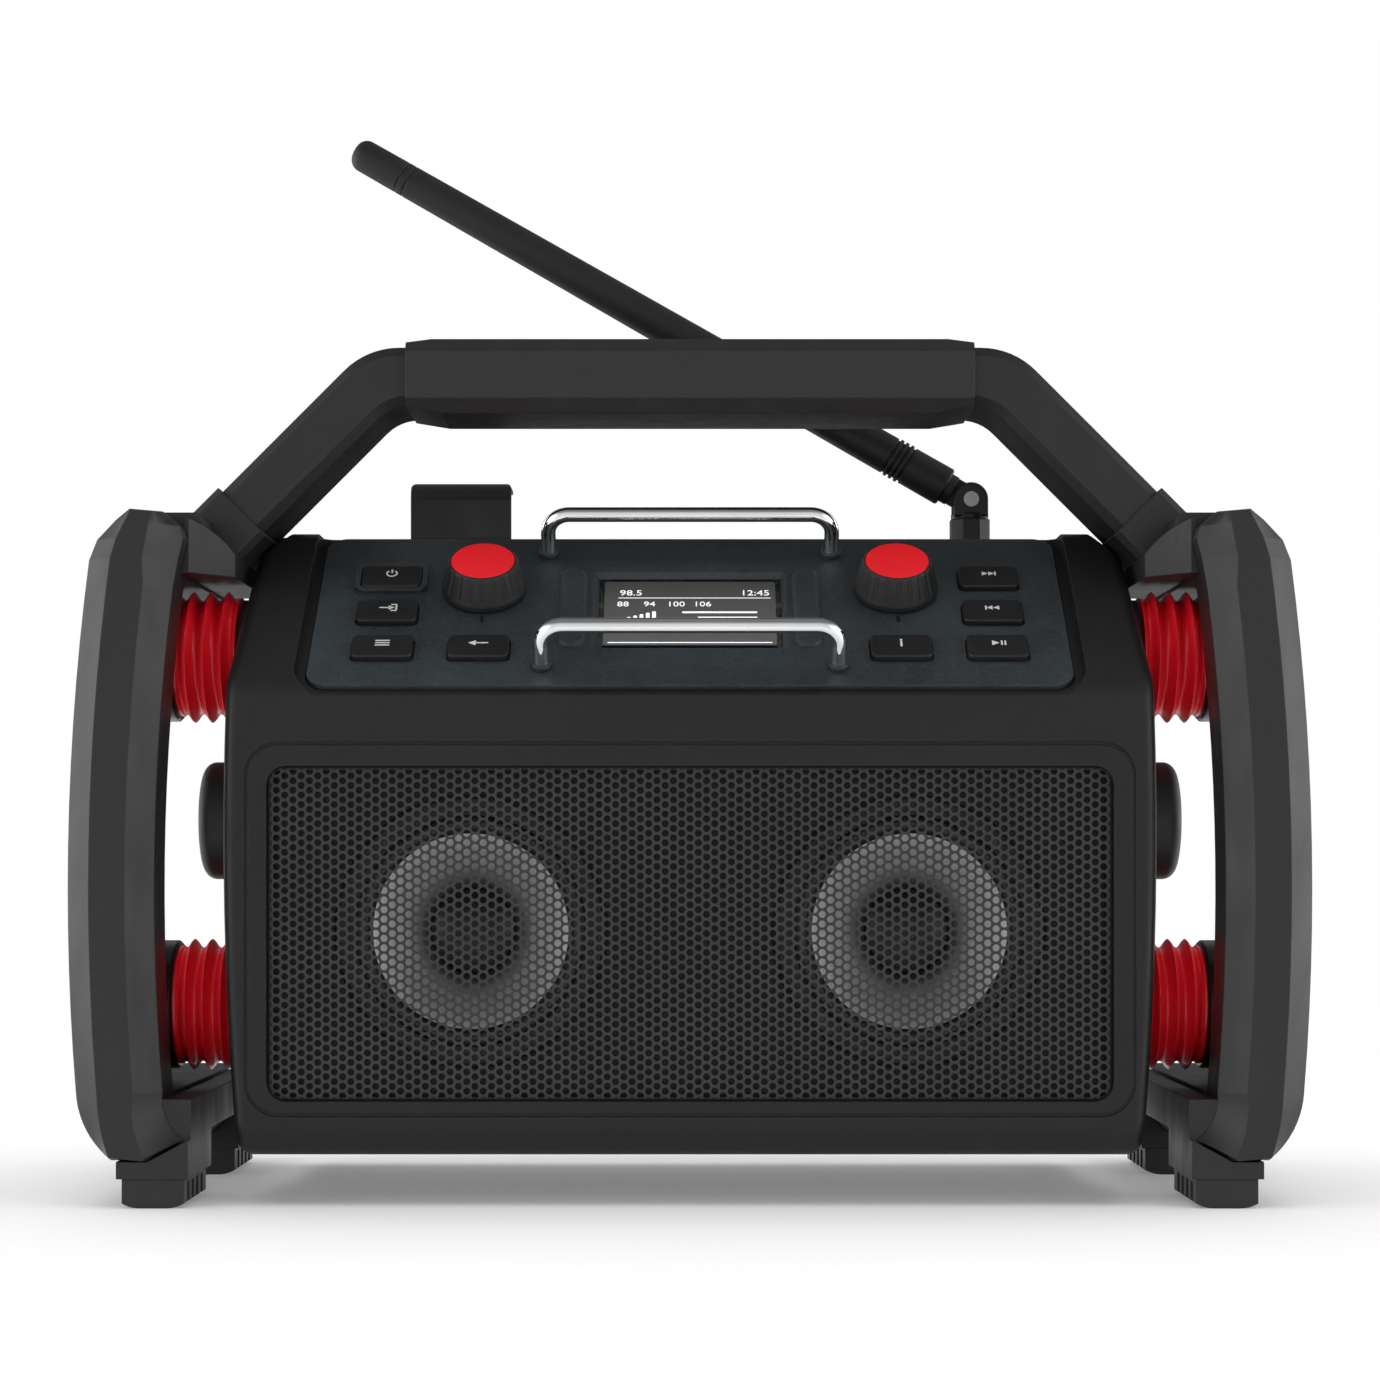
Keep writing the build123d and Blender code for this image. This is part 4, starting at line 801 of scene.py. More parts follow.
class Bench:
    """The modelling operators, each on one active piece."""

    @staticmethod
    def clear() -> None:
        """Leaves edit mode and selects nothing."""
        if bpy.context.object is not None and bpy.context.object.mode != "OBJECT":
            bpy.ops.object.mode_set(mode="OBJECT")
        bpy.ops.object.select_all(action="DESELECT")

    @classmethod
    def take(cls, piece: bpy.types.Object) -> None:
        """Makes one piece the only selected one.

        Args:
            piece: the piece to work on.
        """
        cls.clear()
        piece.select_set(True)
        bpy.context.view_layer.objects.active = piece

    @classmethod
    def edit(cls, piece: bpy.types.Object) -> None:
        """Opens a piece in edit mode with all of it selected.

        Args:
            piece: the piece to work on.
        """
        cls.take(piece)
        bpy.ops.object.mode_set(mode="EDIT")
        bpy.ops.mesh.select_all(action="SELECT")

    @staticmethod
    def done() -> bpy.types.Object:
        """Leaves edit mode and returns the piece."""
        bpy.ops.object.mode_set(mode="OBJECT")
        return bpy.context.object

    @classmethod
    def start(cls, name: str, operator: Callable[..., set], **settings: object) -> bpy.types.Object:
        """Adds a primitive and names it.

        Args:
            name: the piece's name.
            operator: the primitive's operator.
            settings: its arguments.

        Returns:
            The new piece.
        """
        cls.clear()
        operator(**settings)
        piece = bpy.context.object
        piece.name = name
        piece.data.name = name
        return piece

    @classmethod
    def apply(cls, piece: bpy.types.Object) -> bpy.types.Object:
        """Applies a piece's place and all its modifiers.

        Args:
            piece: the piece to work on.

        Returns:
            The same piece.
        """
        cls.take(piece)
        bpy.ops.object.transform_apply(location=True, rotation=True, scale=True)
        for modifier in list(piece.modifiers):
            bpy.ops.object.modifier_apply(modifier=modifier.name)
        return piece

    @classmethod
    def thicken(cls, piece: bpy.types.Object, thickness: float, way: int) -> None:
        """Gives a sheet its thickness.

        Args:
            piece: the open sheet.
            thickness: its thickness.
            way: 1 to grow along its normals, or -1 against them.
        """
        wall = piece.modifiers.new("wall", "SOLIDIFY")
        wall.thickness = thickness
        wall.offset = way
        cls.apply(piece)

    @classmethod
    def outward(cls, piece: bpy.types.Object, merge: float = CLOSE) -> None:
        """Merges doubled corners and turns every face outwards.

        Args:
            piece: the piece to work on.
            merge: how close two corners are to count as one.
        """
        cls.edit(piece)
        bpy.ops.mesh.remove_doubles(threshold=merge)
        bpy.ops.mesh.normals_make_consistent(inside=False)
        cls.done()

    @classmethod
    def smooth(cls, piece: bpy.types.Object, angle_deg: float = 35.0) -> None:
        """Shades a piece smooth up to an angle."""
        cls.take(piece)
        bpy.ops.object.shade_smooth_by_angle(angle=radians(angle_deg))

    @classmethod
    def place(cls, piece: bpy.types.Object, matrix: Matrix) -> bpy.types.Object:
        """Moves a finished piece to its place, in its mesh.

        Args:
            piece: the mesh object, at the origin.
            matrix: where it goes.

        Returns:
            The piece.
        """
        piece.matrix_world = matrix
        return cls.apply(piece)

    @classmethod
    def copy(cls, piece: bpy.types.Object, name: str, matrix: Matrix) -> bpy.types.Object:
        """Copies a piece with a mesh of its own and puts the copy in its place.

        Args:
            piece: the model, at the origin.
            name: the copy's name.
            matrix: where the copy goes.

        Returns:
            The copy.
        """
        cls.take(piece)
        bpy.ops.object.duplicate(linked=False)
        made = bpy.context.object
        made.name = name
        made.data.name = name
        return cls.place(made, matrix)

    @classmethod
    def join(cls, name: str, pieces: Sequence[bpy.types.Object]) -> bpy.types.Object:
        """Joins pieces into the first and names it.

        Args:
            name: the joined piece's name.
            pieces: the pieces, of which the first stays.

        Returns:
            The joined piece.
        """
        cls.take(pieces[0])
        for piece in pieces[1:]:
            piece.select_set(True)
        if len(pieces) > 1:
            bpy.ops.object.join()
        made = bpy.context.object
        made.name = name
        made.data.name = name
        return made


def select_faces(test: Callable[[bmesh.types.BMFace], bool]) -> int:
    """Selects the faces of the piece in edit mode that pass a test.

    Args:
        test: true for a face that is wanted.

    Returns:
        How many faces are selected.
    """
    bpy.ops.mesh.select_all(action="DESELECT")
    bpy.ops.mesh.select_mode(type="FACE")
    mesh = bmesh.from_edit_mesh(bpy.context.object.data)
    found = [face for face in mesh.faces if test(face)]
    for face in found:
        face.select_set(True)
    bmesh.update_edit_mesh(bpy.context.object.data)
    return len(found)


def select_edges(test: Callable[[bmesh.types.BMEdge], bool]) -> int:
    """Selects the edges of the piece in edit mode that pass a test.

    Args:
        test: true for an edge that is wanted.

    Returns:
        How many edges are selected.
    """
    bpy.ops.mesh.select_all(action="DESELECT")
    bpy.ops.mesh.select_mode(type="EDGE")
    mesh = bmesh.from_edit_mesh(bpy.context.object.data)
    found = [edge for edge in mesh.edges if test(edge)]
    for edge in found:
        edge.select_set(True)
    bmesh.update_edit_mesh(bpy.context.object.data)
    return len(found)


def turned(name: str, stations: Sequence[tuple[float, float]], segments: int = 64) -> bpy.types.Object:
    """A closed body of revolution about X, drawn out ring by ring.

    Args:
        name: the piece's name.
        stations: (x, radius) of each ring, from one end to the other.
        segments: the corners of a ring.

    Returns:
        The closed piece.
    """
    first_x, first_radius = stations[0]
    piece = Bench.start(
        name,
        bpy.ops.mesh.primitive_circle_add,
        vertices=segments,
        radius=first_radius,
        fill_type="NGON",
        location=(first_x, 0, 0),
        rotation=(0, pi / 2, 0),
    )
    bpy.ops.object.transform_apply(location=True, rotation=True, scale=True)
    Bench.edit(piece)
    bpy.ops.mesh.select_mode(type="FACE")
    x, radius = first_x, first_radius
    for next_x, next_radius in stations[1:]:
        bpy.ops.mesh.extrude_region_move(TRANSFORM_OT_translate={"value": (next_x - x, 0, 0)})
        grow = next_radius / radius
        bpy.ops.transform.resize(value=(1, grow, grow), center_override=(next_x, 0, 0))
        x, radius = next_x, next_radius
    Bench.done()
    Bench.outward(piece)
    return piece


# --------------------------------------------------------------------------- the sloping panel's own frame


class PanelPlane:
    """The sloping panel's own frame: x across, s up the slope from the knobs' axis, w out of it."""

    def __init__(self) -> None:
        """Finds the plane from the joint that the volume knob turns on."""
        knob = next(joint for joint in frame["joints"] if joint["name"] == "volume_knob_turn")
        self.out = Vector(knob["axis"]).normalized()
        self.slope = Vector((0, 0, 1)).angle(self.out)
        self.along = Vector((1, 0, 0)).cross(-self.out).normalized()
        self.origin = Vector(knob["pos_m"])
        self.origin.x = 0

    def at(self, x: float, s: float, w: float) -> Matrix:
        """The place of a small piece that lies on the panel with its face outwards.

        Args:
            x: across the panel.
            s: up the slope.
            w: out of the panel.

        Returns:
            The matrix that takes a piece drawn in the XY plane there.
        """
        origin = Vector((x, 0, 0)) + self.origin + self.along * s + self.out * w
        return Matrix.Translation(origin) @ Matrix.Rotation(self.slope, 4, "X")

    def on(self, node: str, w: float) -> Matrix:
        """The place over the middle of a CAD node that stands on the panel.

        Args:
            node: the node's name.
            w: out of the panel.

        Returns:
            The matrix that takes a piece drawn in the XY plane there.
        """
        low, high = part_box(node)
        middle = (low + high) / 2 - self.origin
        return self.at(middle.x, middle.dot(self.along), w)


# --------------------------------------------------------------------------- fitting pieces


@dataclass
class Assembly:
    """What every sub-assembly does with a modelled piece."""

    finishes: Finishes

    def fit(
        self, piece: bpy.types.Object, finish: str, body: str, slot: str = "", replaced: str = ""
    ) -> None:
        """Dresses a piece and ties it to the frame.

        Args:
            piece: the finished piece.
            finish: the name of its finish.
            body: the body that it moves with.
            slot: the record's material slot that it belongs to, if any; not used.
            replaced: the CAD node that it stands for, if any.
        """
        self.finishes.give(piece, finish)
        if replaced:
            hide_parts(replaced)
        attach(piece, body)
        log.info("%s: %d faces", piece.name, len(piece.data.polygons))


# --------------------------------------------------------------------------- the speaker grille


@dataclass
class SpeakerGrille(Assembly):
    """The perforated sheet over the loudspeakers, with its rolled edge."""

    pitch: float = 2.953 * MM
    hole_radius: float = 1.12 * MM
    hole_corners: int = 12
    sheet: float = 0.5 * MM
    roll_width: float = 2.3 * MM
    roll_radius: float = 1.9 * MM
    overlap: float = 0.5 * MM
    corner: float = 5.6 * MM
    corner_cuts: int = 4
    corner_segments: int = 8
    roll_segments: int = 5
    edge_set_back: float = 0.08 * MM
    outline_width: float = 0.2 * MM
    spare_rows: int = 3
    spare_columns: int = 2
    merge: float = 0.01 * MM

    def __post_init__(self) -> None:
        """Finds the corners of the CAD node that the pieces stand for."""
        self.low, self.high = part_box("speaker_grille")

    def build(self) -> None:
        """Models the sheet in two halves and the rolled edge round it."""
        pieces = [(self.half(side), "grille_metal") for side in Side]
        # The rolled edge gets a near-black finish that is painted shade for the groove round the sheet.
        pieces.append((self.rolled_edge(), "grille_edge"))
        for piece, finish in pieces:
            self.fit(piece, finish, "chassis", slot="grille_metal", replaced="speaker_grille")

    def cell(self, name: str) -> bpy.types.Object:
        """One six-sided cell of the sheet with a round hole, drawn in the XY plane.

        Args:
            name: the cell's name.

        Returns:
            The open cell.
        """
        piece = Bench.start(
            name,
            bpy.ops.mesh.primitive_circle_add,
            vertices=self.hole_corners,
            radius=self.hole_radius,
            rotation=(0, 0, pi / 2),
        )
        bpy.ops.object.transform_apply(rotation=True)
        Bench.edit(piece)
        bpy.ops.mesh.select_mode(type="EDGE")
        bpy.ops.mesh.select_all(action="SELECT")
        bpy.ops.mesh.extrude_region_move(TRANSFORM_OT_translate={"value": (0, 0, 0)})
        flat = self.pitch / 2
        grow = flat / self.hole_radius
        bpy.ops.transform.resize(value=(grow, grow, 1), center_override=(0, 0, 0))
        bpy.ops.mesh.select_all(action="DESELECT")
        bpy.ops.mesh.select_mode(type="VERT")
        mesh = bmesh.from_edit_mesh(piece.data)
        for corner in mesh.verts:
            sixths = Vector((corner.co.x, corner.co.y)).angle_signed(Vector((1, 0))) / (tau / 6)
            on_hexagon = corner.co.length > (self.hole_radius + flat) / 2
            at_corner = abs(sixths - round(sixths)) < 0.1
            corner.select_set(on_hexagon and at_corner)
        mesh.select_flush_mode()
        bmesh.update_edit_mesh(piece.data)
        grow = 2 / sqrt(3)
        bpy.ops.transform.resize(value=(grow, grow, 1), center_override=(0, 0, 0))
        return Bench.done()

    def half(self, side: Side) -> bpy.types.Object:
        """One half of the sheet, from the middle line outwards.

        Args:
            side: which half.

        Returns:
            The finished half.
        """
        name = f"grille_sheet_{side.name.lower()}"
        piece = self.cell(name)
        column = self.pitch * sqrt(3) / 2
        second = Bench.copy(piece, "second_column", Matrix.Translation((column, self.pitch / 2, 0)))
        piece = Bench.join(name, [piece, second])
        width, height = self.high.x, self.high.z - self.low.z
        rows = int(height / self.pitch) + self.spare_rows
        pairs = int(width / (2 * column)) + self.spare_columns
        for count, offset in ((rows, (0, self.pitch, 0)), (pairs, (2 * column, 0, 0))):
            array = piece.modifiers.new("repeat", "ARRAY")
            array.use_relative_offset = False
            array.use_constant_offset = True
            array.constant_offset_displace = offset
            array.count = count
        Bench.apply(piece)
        Bench.outward(piece, merge=self.merge)
        middle = Vector((0, (self.low.z + self.high.z) / 2, 0))
        start = middle - Vector((0, rows * self.pitch / 2, 0))
        Bench.place(piece, Matrix.Translation(start))
        self.trim(piece, width, height, middle.y)
        turn = Matrix.Rotation(pi / 2, 4, "X")
        if side is Side.LEFT:
            turn = turn @ Matrix.Scale(-1, 4, (1, 0, 0))
        Bench.place(piece, Matrix.Translation((0, self.low.y, 0)) @ turn)
        Bench.outward(piece)
        self.face_front(piece)
        Bench.thicken(piece, self.sheet, -1)
        return piece

    @staticmethod
    def face_front(piece: bpy.types.Object) -> None:
        """Turns an open sheet's faces to the front.

        Args:
            piece: the sheet in the XZ plane.
        """
        if piece.data.polygons[0].normal.y > 0:
            Bench.edit(piece)
            bpy.ops.mesh.flip_normals()
            Bench.done()

    def trim(self, piece: bpy.types.Object, width: float, height: float, middle: float) -> None:
        """Cuts the flat sheet back to its rounded outline.

        Args:
            piece: the sheet in the XY plane, Y up.
            width: the grille's half width.
            height: its height.
            middle: the height of its middle.
        """
        inset = self.roll_width - self.overlap
        reach_x, reach_y = width - inset, height / 2 - inset
        planes = [((0, 0), (-1, 0)), ((reach_x, 0), (1, 0))]
        planes += [((0, middle + way * reach_y), (0, way)) for way in (-1, 1)]
        radius = self.corner - inset
        for way in (-1, 1):
            centre = (reach_x - radius, middle + way * (reach_y - radius))
            for cut in range(1, self.corner_cuts + 1):
                turn = cut / (self.corner_cuts + 1) * pi / 2
                out = (cos(turn), way * sin(turn))
                planes.append(((centre[0] + radius * out[0], centre[1] + radius * out[1]), out))
        for point, normal in planes:
            Bench.edit(piece)
            bpy.ops.mesh.bisect(plane_co=(*point, 0), plane_no=(*normal, 0), clear_outer=True)
            Bench.done()

    def rolled_edge(self) -> bpy.types.Object:
        """The sheet's border, bent back into the bay.

        Returns:
            The closed border.
        """
        size = self.high - self.low
        middle = (self.low + self.high) / 2
        front_y = self.low.y + self.edge_set_back
        piece = Bench.start("grille_rolled_edge", bpy.ops.mesh.primitive_plane_add, size=1.0)
        piece.scale = (size.x, size.z, 1)
        bpy.ops.object.transform_apply(scale=True)
        Bench.edit(piece)
        bpy.ops.mesh.bevel(affect="VERTICES", offset=self.corner, segments=self.corner_segments)
        select_faces(lambda face: True)
        bpy.ops.mesh.inset(thickness=self.roll_width, use_boundary=True)
        bpy.ops.mesh.delete(type="FACE")
        Bench.done()
        stand = Matrix.Translation((middle.x, front_y, middle.z)) @ Matrix.Rotation(pi / 2, 4, "X")
        Bench.place(piece, stand)
        Bench.outward(piece)
        self.face_front(piece)
        Bench.edit(piece)
        depth = size.y - self.edge_set_back
        bpy.ops.mesh.extrude_region_move(TRANSFORM_OT_translate={"value": (0, depth, 0)})
        Bench.done()
        Bench.outward(piece)
        Bench.edit(piece)

        def on_outer_front(edge: bmesh.types.BMEdge) -> bool:
            """Tells whether an edge is part of the outer rim of the front face.

            Args:
                edge: an edge of the border.

            Returns:
                True for an edge of that rim.
            """
            if any(abs(corner.co.y - front_y) > CLOSE for corner in edge.verts):
                return False
            return all(self.near_outline(corner.co, size / 2, middle) for corner in edge.verts)

        select_edges(on_outer_front)
        bpy.ops.mesh.bevel(offset=self.roll_radius, segments=self.roll_segments, affect="EDGES")
        Bench.done()
        Bench.outward(piece)
        Bench.smooth(piece)
        return piece

    def near_outline(self, point: Vector, half: Vector, middle: Vector) -> bool:
        """Tells whether a point lies on the rounded outline itself.

        Args:
            point: the point.
            half: half the size of the border.
            middle: the middle of the border.

        Returns:
            True for a point on the outline.
        """
        x, z = abs(point.x), abs(point.z - middle.z)
        inner_x, inner_z = half.x - self.corner, half.z - self.corner
        if x > inner_x and z > inner_z:
            return Vector((x - inner_x, z - inner_z)).length > self.corner - self.outline_width
        return x > half.x - self.outline_width or z > half.z - self.outline_width


# --------------------------------------------------------------------------- the bellows


@dataclass
class Bellows(Assembly):
    """The four red bellows that carry the housing between its guards."""

    inner_x: float = 145.2 * MM
    outer_x: float = 165.1 * MM
    y: float = -25 * MM
    heights: tuple[float, float] = (60.4 * MM, 173 * MM)
    peak: float = 21.2 * MM
    valley: float = 18.4 * MM
    pitch: float = 5.65 * MM
    ridges: int = 3
    steps: int = 10
    neck: float = 19.2 * MM
    lip: float = 0.35 * MM
    neck_end: float = 0.5
    lip_end: float = 0.8
    crest_round: float = 0.2
    segments: int = 72
    smooth_deg: float = 60

    def stations(self) -> list[tuple[float, float]]:
        """The rings of one bellows, with narrow crests and round valleys.

        Returns:
            (x, radius) of each ring, from its seat on the housing outwards.
        """
        length = self.outer_x - self.inner_x
        wave = self.ridges * self.pitch
        margin = (length - wave) / 2
        top = sqrt(1 + self.crest_round**2)
        neck_x, lip_x, lip_radius = margin * self.neck_end, margin * self.lip_end, self.neck - self.lip
        rings = [(0.0, self.neck), (neck_x, self.neck), (lip_x, lip_radius)]
        for step in range(self.ridges * self.steps + 1):
            turn = step / self.steps
            lift = (top - sqrt(cos(pi * turn) ** 2 + self.crest_round**2)) / (top - self.crest_round)
            rings.append((margin + turn * self.pitch, self.valley + (self.peak - self.valley) * lift))
        return rings + [(length - lip_x, lip_radius), (length - neck_x, self.neck), (length, self.neck)]

    def build(self) -> None:
        """Models one bellows, and puts copies of it at the four places."""
        model = turned("bellows_model", self.stations(), segments=self.segments)
        Bench.smooth(model, self.smooth_deg)
        for side in Side:
            name = side.name.lower()
            facing = Matrix.Scale(side.value, 4, (1, 0, 0))
            copies = []
            for height in self.heights:
                seat = Matrix.Translation((side.value * self.inner_x, self.y, height))
                copies.append(Bench.copy(model, f"bellows_{name}_{len(copies)}", seat @ facing))
            piece = Bench.join(f"bellows_pair_{name}", copies)
            Bench.outward(piece)
            Bench.smooth(piece, self.smooth_deg)
            self.fit(piece, "bellows_rubber", "chassis", slot="bellows_rubber", replaced=f"{name}_bellows")
        bpy.data.objects.remove(model)


# --------------------------------------------------------------------------- the antenna's whip


@dataclass
class Whip(Assembly):
    """The rubber-covered whip of the antenna: ribs at its root, two fine grooves and a round tip."""

    tilt: float = radians(29.7)
    neck_start: float = 6.9 * MM
    neck_radius: float = 5.2 * MM
    sleeve_start: float = 9.5 * MM
    root_radius: float = 6.7 * MM
    tip_radius: float = 5.5 * MM
    length: float = 242.8 * MM
    edge: float = 0.6 * MM
    step: float = 0.01 * MM
    rib_start: float = 24.6 * MM
    rib_pitch: float = 2.0 * MM
    ribs: int = 4
    rib_height: float = 0.25 * MM
    groove_depth: float = 0.55 * MM
    groove_flank: float = 0.15 * MM
    groove_width: float = 0.95 * MM
    line_places: tuple[float, float] = (221.4 * MM, 224.2 * MM)
    line_depth: float = 0.3 * MM
    line_half: float = 0.3 * MM
    tip_round: float = 4.0 * MM
    tip_steps: int = 8
    tongue_radius: float = 4.6 * MM
    tongue_depth: float = 4.7 * MM
    tongue_ease: float = 0.3 * MM
    eye_corners: int = 40
    segments: int = 56
    smooth_deg: float = 40

    def radius(self, along: float) -> float:
        """The sleeve's radius at a place along it."""
        share = (along - self.sleeve_start) / (self.length - self.sleeve_start)
        return self.root_radius + (self.tip_radius - self.root_radius) * share

    def stations(self) -> list[tuple[float, float]]:
        """The rings of the neck and the sleeve.

        Returns:
            (x, radius) of each ring, from the pivot to the tip.
        """
        rings = [(self.neck_start, self.neck_radius), (self.sleeve_start, self.neck_radius)]
        rings.append((self.sleeve_start + self.step, self.root_radius - self.edge))
        rings.append((self.sleeve_start + self.edge, self.root_radius))
        for groove in range(self.ribs):
            start = self.rib_start + groove * self.rib_pitch
            end = start + self.groove_width
            body = self.radius(start)
            before = body + self.rib_height if groove > 0 else body
            after = body + self.rib_height if groove < self.ribs - 1 else body
            floor = body - self.groove_depth
            rings += [(start, before), (start + self.groove_flank, floor)]
            rings += [(end - self.groove_flank, floor), (end, after)]
        for place in self.line_places:
            body = self.radius(place)
            floor = body - self.line_depth
            rings += [(place - self.line_half, body), (place - self.line_half / 3, floor)]
            rings += [(place + self.line_half / 3, floor), (place + self.line_half, body)]
        shoulder = self.length - self.tip_round
        for step in range(self.tip_steps + 1):
            turn = step / self.tip_steps * pi / 2
            radius = self.tip_radius + self.tip_round * (cos(turn) - 1)
            rings.append((shoulder + self.tip_round * sin(turn), radius))
        return rings

    def tongue(self) -> list[bpy.types.Object]:
        """The flat tongue that turns between the fork's ears.

        Returns:
            Its round eye and its bar.
        """
        eye = Bench.start(
            "tongue_eye",
            bpy.ops.mesh.primitive_cylinder_add,
            vertices=self.eye_corners,
            radius=self.tongue_radius,
            depth=self.tongue_depth,
            rotation=(pi / 2, 0, 0),
        )
        Bench.apply(eye)
        bar = Bench.start(
            "tongue_bar",
            bpy.ops.mesh.primitive_cube_add,
            size=1.0,
            location=(self.sleeve_start / 2, 0, 0),
            scale=(self.sleeve_start, self.tongue_depth, 2 * self.tongue_radius),
        )
        Bench.edit(bar)
        bpy.ops.mesh.bevel(offset=self.tongue_ease, segments=2, affect="EDGES")
        Bench.done()
        return [eye, Bench.apply(bar)]

    def build(self) -> None:
        """Models the whip and lays it along the antenna's line."""
        sleeve = turned("antenna_sleeve", self.stations(), segments=self.segments)
        piece = Bench.join("antenna_sleeve", [sleeve, *self.tongue()])
        joint = next(joint for joint in frame["joints"] if joint["name"] == "antenna_fold")
        lie = Matrix.Translation(Vector(joint["pos_m"])) @ Matrix.Rotation(self.tilt - pi, 4, "Y")
        Bench.place(piece, lie)
        Bench.smooth(piece, self.smooth_deg)
        self.fit(piece, "antenna_rubber", "antenna_rod", slot="antenna_rubber", replaced="antenna_whip")


# --------------------------------------------------------------------------- printed signs


class Pen:
    """Draws flat signs from bars, triangles and rings, and gives them the thickness of print."""

    BAR_ROUND: float = 0.3
    TRIANGLE_ROUND: float = 0.12
    RING_CORNERS: int = 40
    DISC_CORNERS: int = 20
    TYPE_STEPS: int = 3

    def __init__(self, name: str, thickness: float = 0.06 * MM) -> None:
        """Starts an empty sign.

        Args:
            name: the sign's name.
            thickness: the print's thickness.
        """
        self.name = name
        self.thickness = thickness
        self.parts: list[bpy.types.Object] = []

    def keep(self, piece: bpy.types.Object, x: float, y: float, turn: Matrix | None = None) -> None:
        """Adds a stroke to the sign.

        Args:
            piece: the stroke, drawn at the origin.
            x: where its middle goes, across the sign.
            y: where its middle goes, up the sign.
            turn: how it is turned or squeezed first, if at all.
        """
        place = Matrix.Translation((x, y, 0))
        self.parts.append(Bench.place(piece, place if turn is None else place @ turn))

    @staticmethod
    def circle(name: str, corners: int, radius: float) -> bpy.types.Object:
        """A flat filled circle, or with few corners a polygon.

        Args:
            name: the stroke's name.
            corners: the number of its corners.
            radius: the distance of its corners from the middle.

        Returns:
            The stroke at the origin.
        """
        add = bpy.ops.mesh.primitive_circle_add
        return Bench.start(name, add, vertices=corners, radius=radius, fill_type="NGON")

    def bar(self, x: float, y: float, width: float, height: float) -> None:
        """Adds a bar with rounded ends.

        Args:
            x: its middle, across the sign.
            y: its middle, up the sign.
            width: its size along X.
            height: its size along Y.
        """
        piece = Bench.start("bar", bpy.ops.mesh.primitive_plane_add, size=1.0)
        piece.scale = (width, height, 1)
        bpy.ops.object.transform_apply(scale=True)
        Bench.edit(piece)
        ease = min(width, height) * self.BAR_ROUND
        bpy.ops.mesh.bevel(affect="VERTICES", offset=ease, segments=2)
        Bench.done()
        self.keep(piece, x, y)

    def triangle(
        self, x: float, y: float, radius: float, turn_deg: float = 0.0, squeeze: float = 1.0
    ) -> None:
        """Adds a triangle that points along +X when it isn't turned.

        Args:
            x: its middle, across the sign.
            y: its middle, up the sign.
            radius: the distance of its corners from the middle.
            turn_deg: how far it is turned.
            squeeze: its scale along X.
        """
        piece = self.circle("triangle", 3, radius)
        Bench.edit(piece)
        bpy.ops.mesh.bevel(affect="VERTICES", offset=radius * self.TRIANGLE_ROUND, segments=2)
        Bench.done()
        turn = Matrix.Rotation(radians(turn_deg - 90), 4, "Z")
        self.keep(piece, x, y, Matrix.Scale(squeeze, 4, (1, 0, 0)) @ turn)

    def ring(self, x: float, y: float, radius: float, line: float, gap_deg: float) -> None:
        """Adds a ring that is open at the top.

        Args:
            x: its middle, across the sign.
            y: its middle, up the sign.
            radius: its outer radius.
            line: the width of its line.
            gap_deg: the angle of the opening.
        """
        piece = self.circle("ring", self.RING_CORNERS, radius)
        Bench.edit(piece)
        bpy.ops.mesh.select_mode(type="FACE")
        bpy.ops.mesh.inset(thickness=line)
        bpy.ops.mesh.delete(type="FACE")

        def in_gap(face: bmesh.types.BMFace) -> bool:
            """True for a face in the open angle at the top."""
            middle = face.calc_center_median()
            return Vector((middle.x, middle.y)).angle(Vector((0, 1))) < radians(gap_deg / 2)

        select_faces(in_gap)
        bpy.ops.mesh.delete(type="FACE")
        Bench.done()
        self.keep(piece, x, y)

    def disc(self, x: float, y: float, radius: float) -> None:
        """Adds a filled disc."""
        self.keep(self.circle("disc", self.DISC_CORNERS, radius), x, y)

    def figures(self, text: str, x: float, y: float, size: float) -> None:
        """Adds a line of figures.

        Args:
            text: the figures.
            x: the middle of the line, across the sign.
            y: the middle of the line, up the sign.
            size: the size of the type.
        """
        Bench.clear()
        bpy.ops.object.text_add()
        line = bpy.context.object
        line.data.body = text
        line.data.size = size
        line.data.align_x = "CENTER"
        line.data.align_y = "CENTER"
        line.data.resolution_u = self.TYPE_STEPS
        bpy.ops.object.convert(target="MESH")
        self.keep(bpy.context.object, x, y)

    def finish(self, place: Matrix) -> bpy.types.Object:
        """Joins the strokes, thickens them outwards and puts the sign in its place.

        Args:
            place: the matrix that takes the XY plane there.

        Returns:
            The sign.
        """
        piece = Bench.join(self.name, self.parts)
        Bench.outward(piece)
        for face in piece.data.polygons:
            if face.normal.z < 0:
                face.flip()
        Bench.thicken(piece, self.thickness, 1)
        return Bench.place(piece, place)


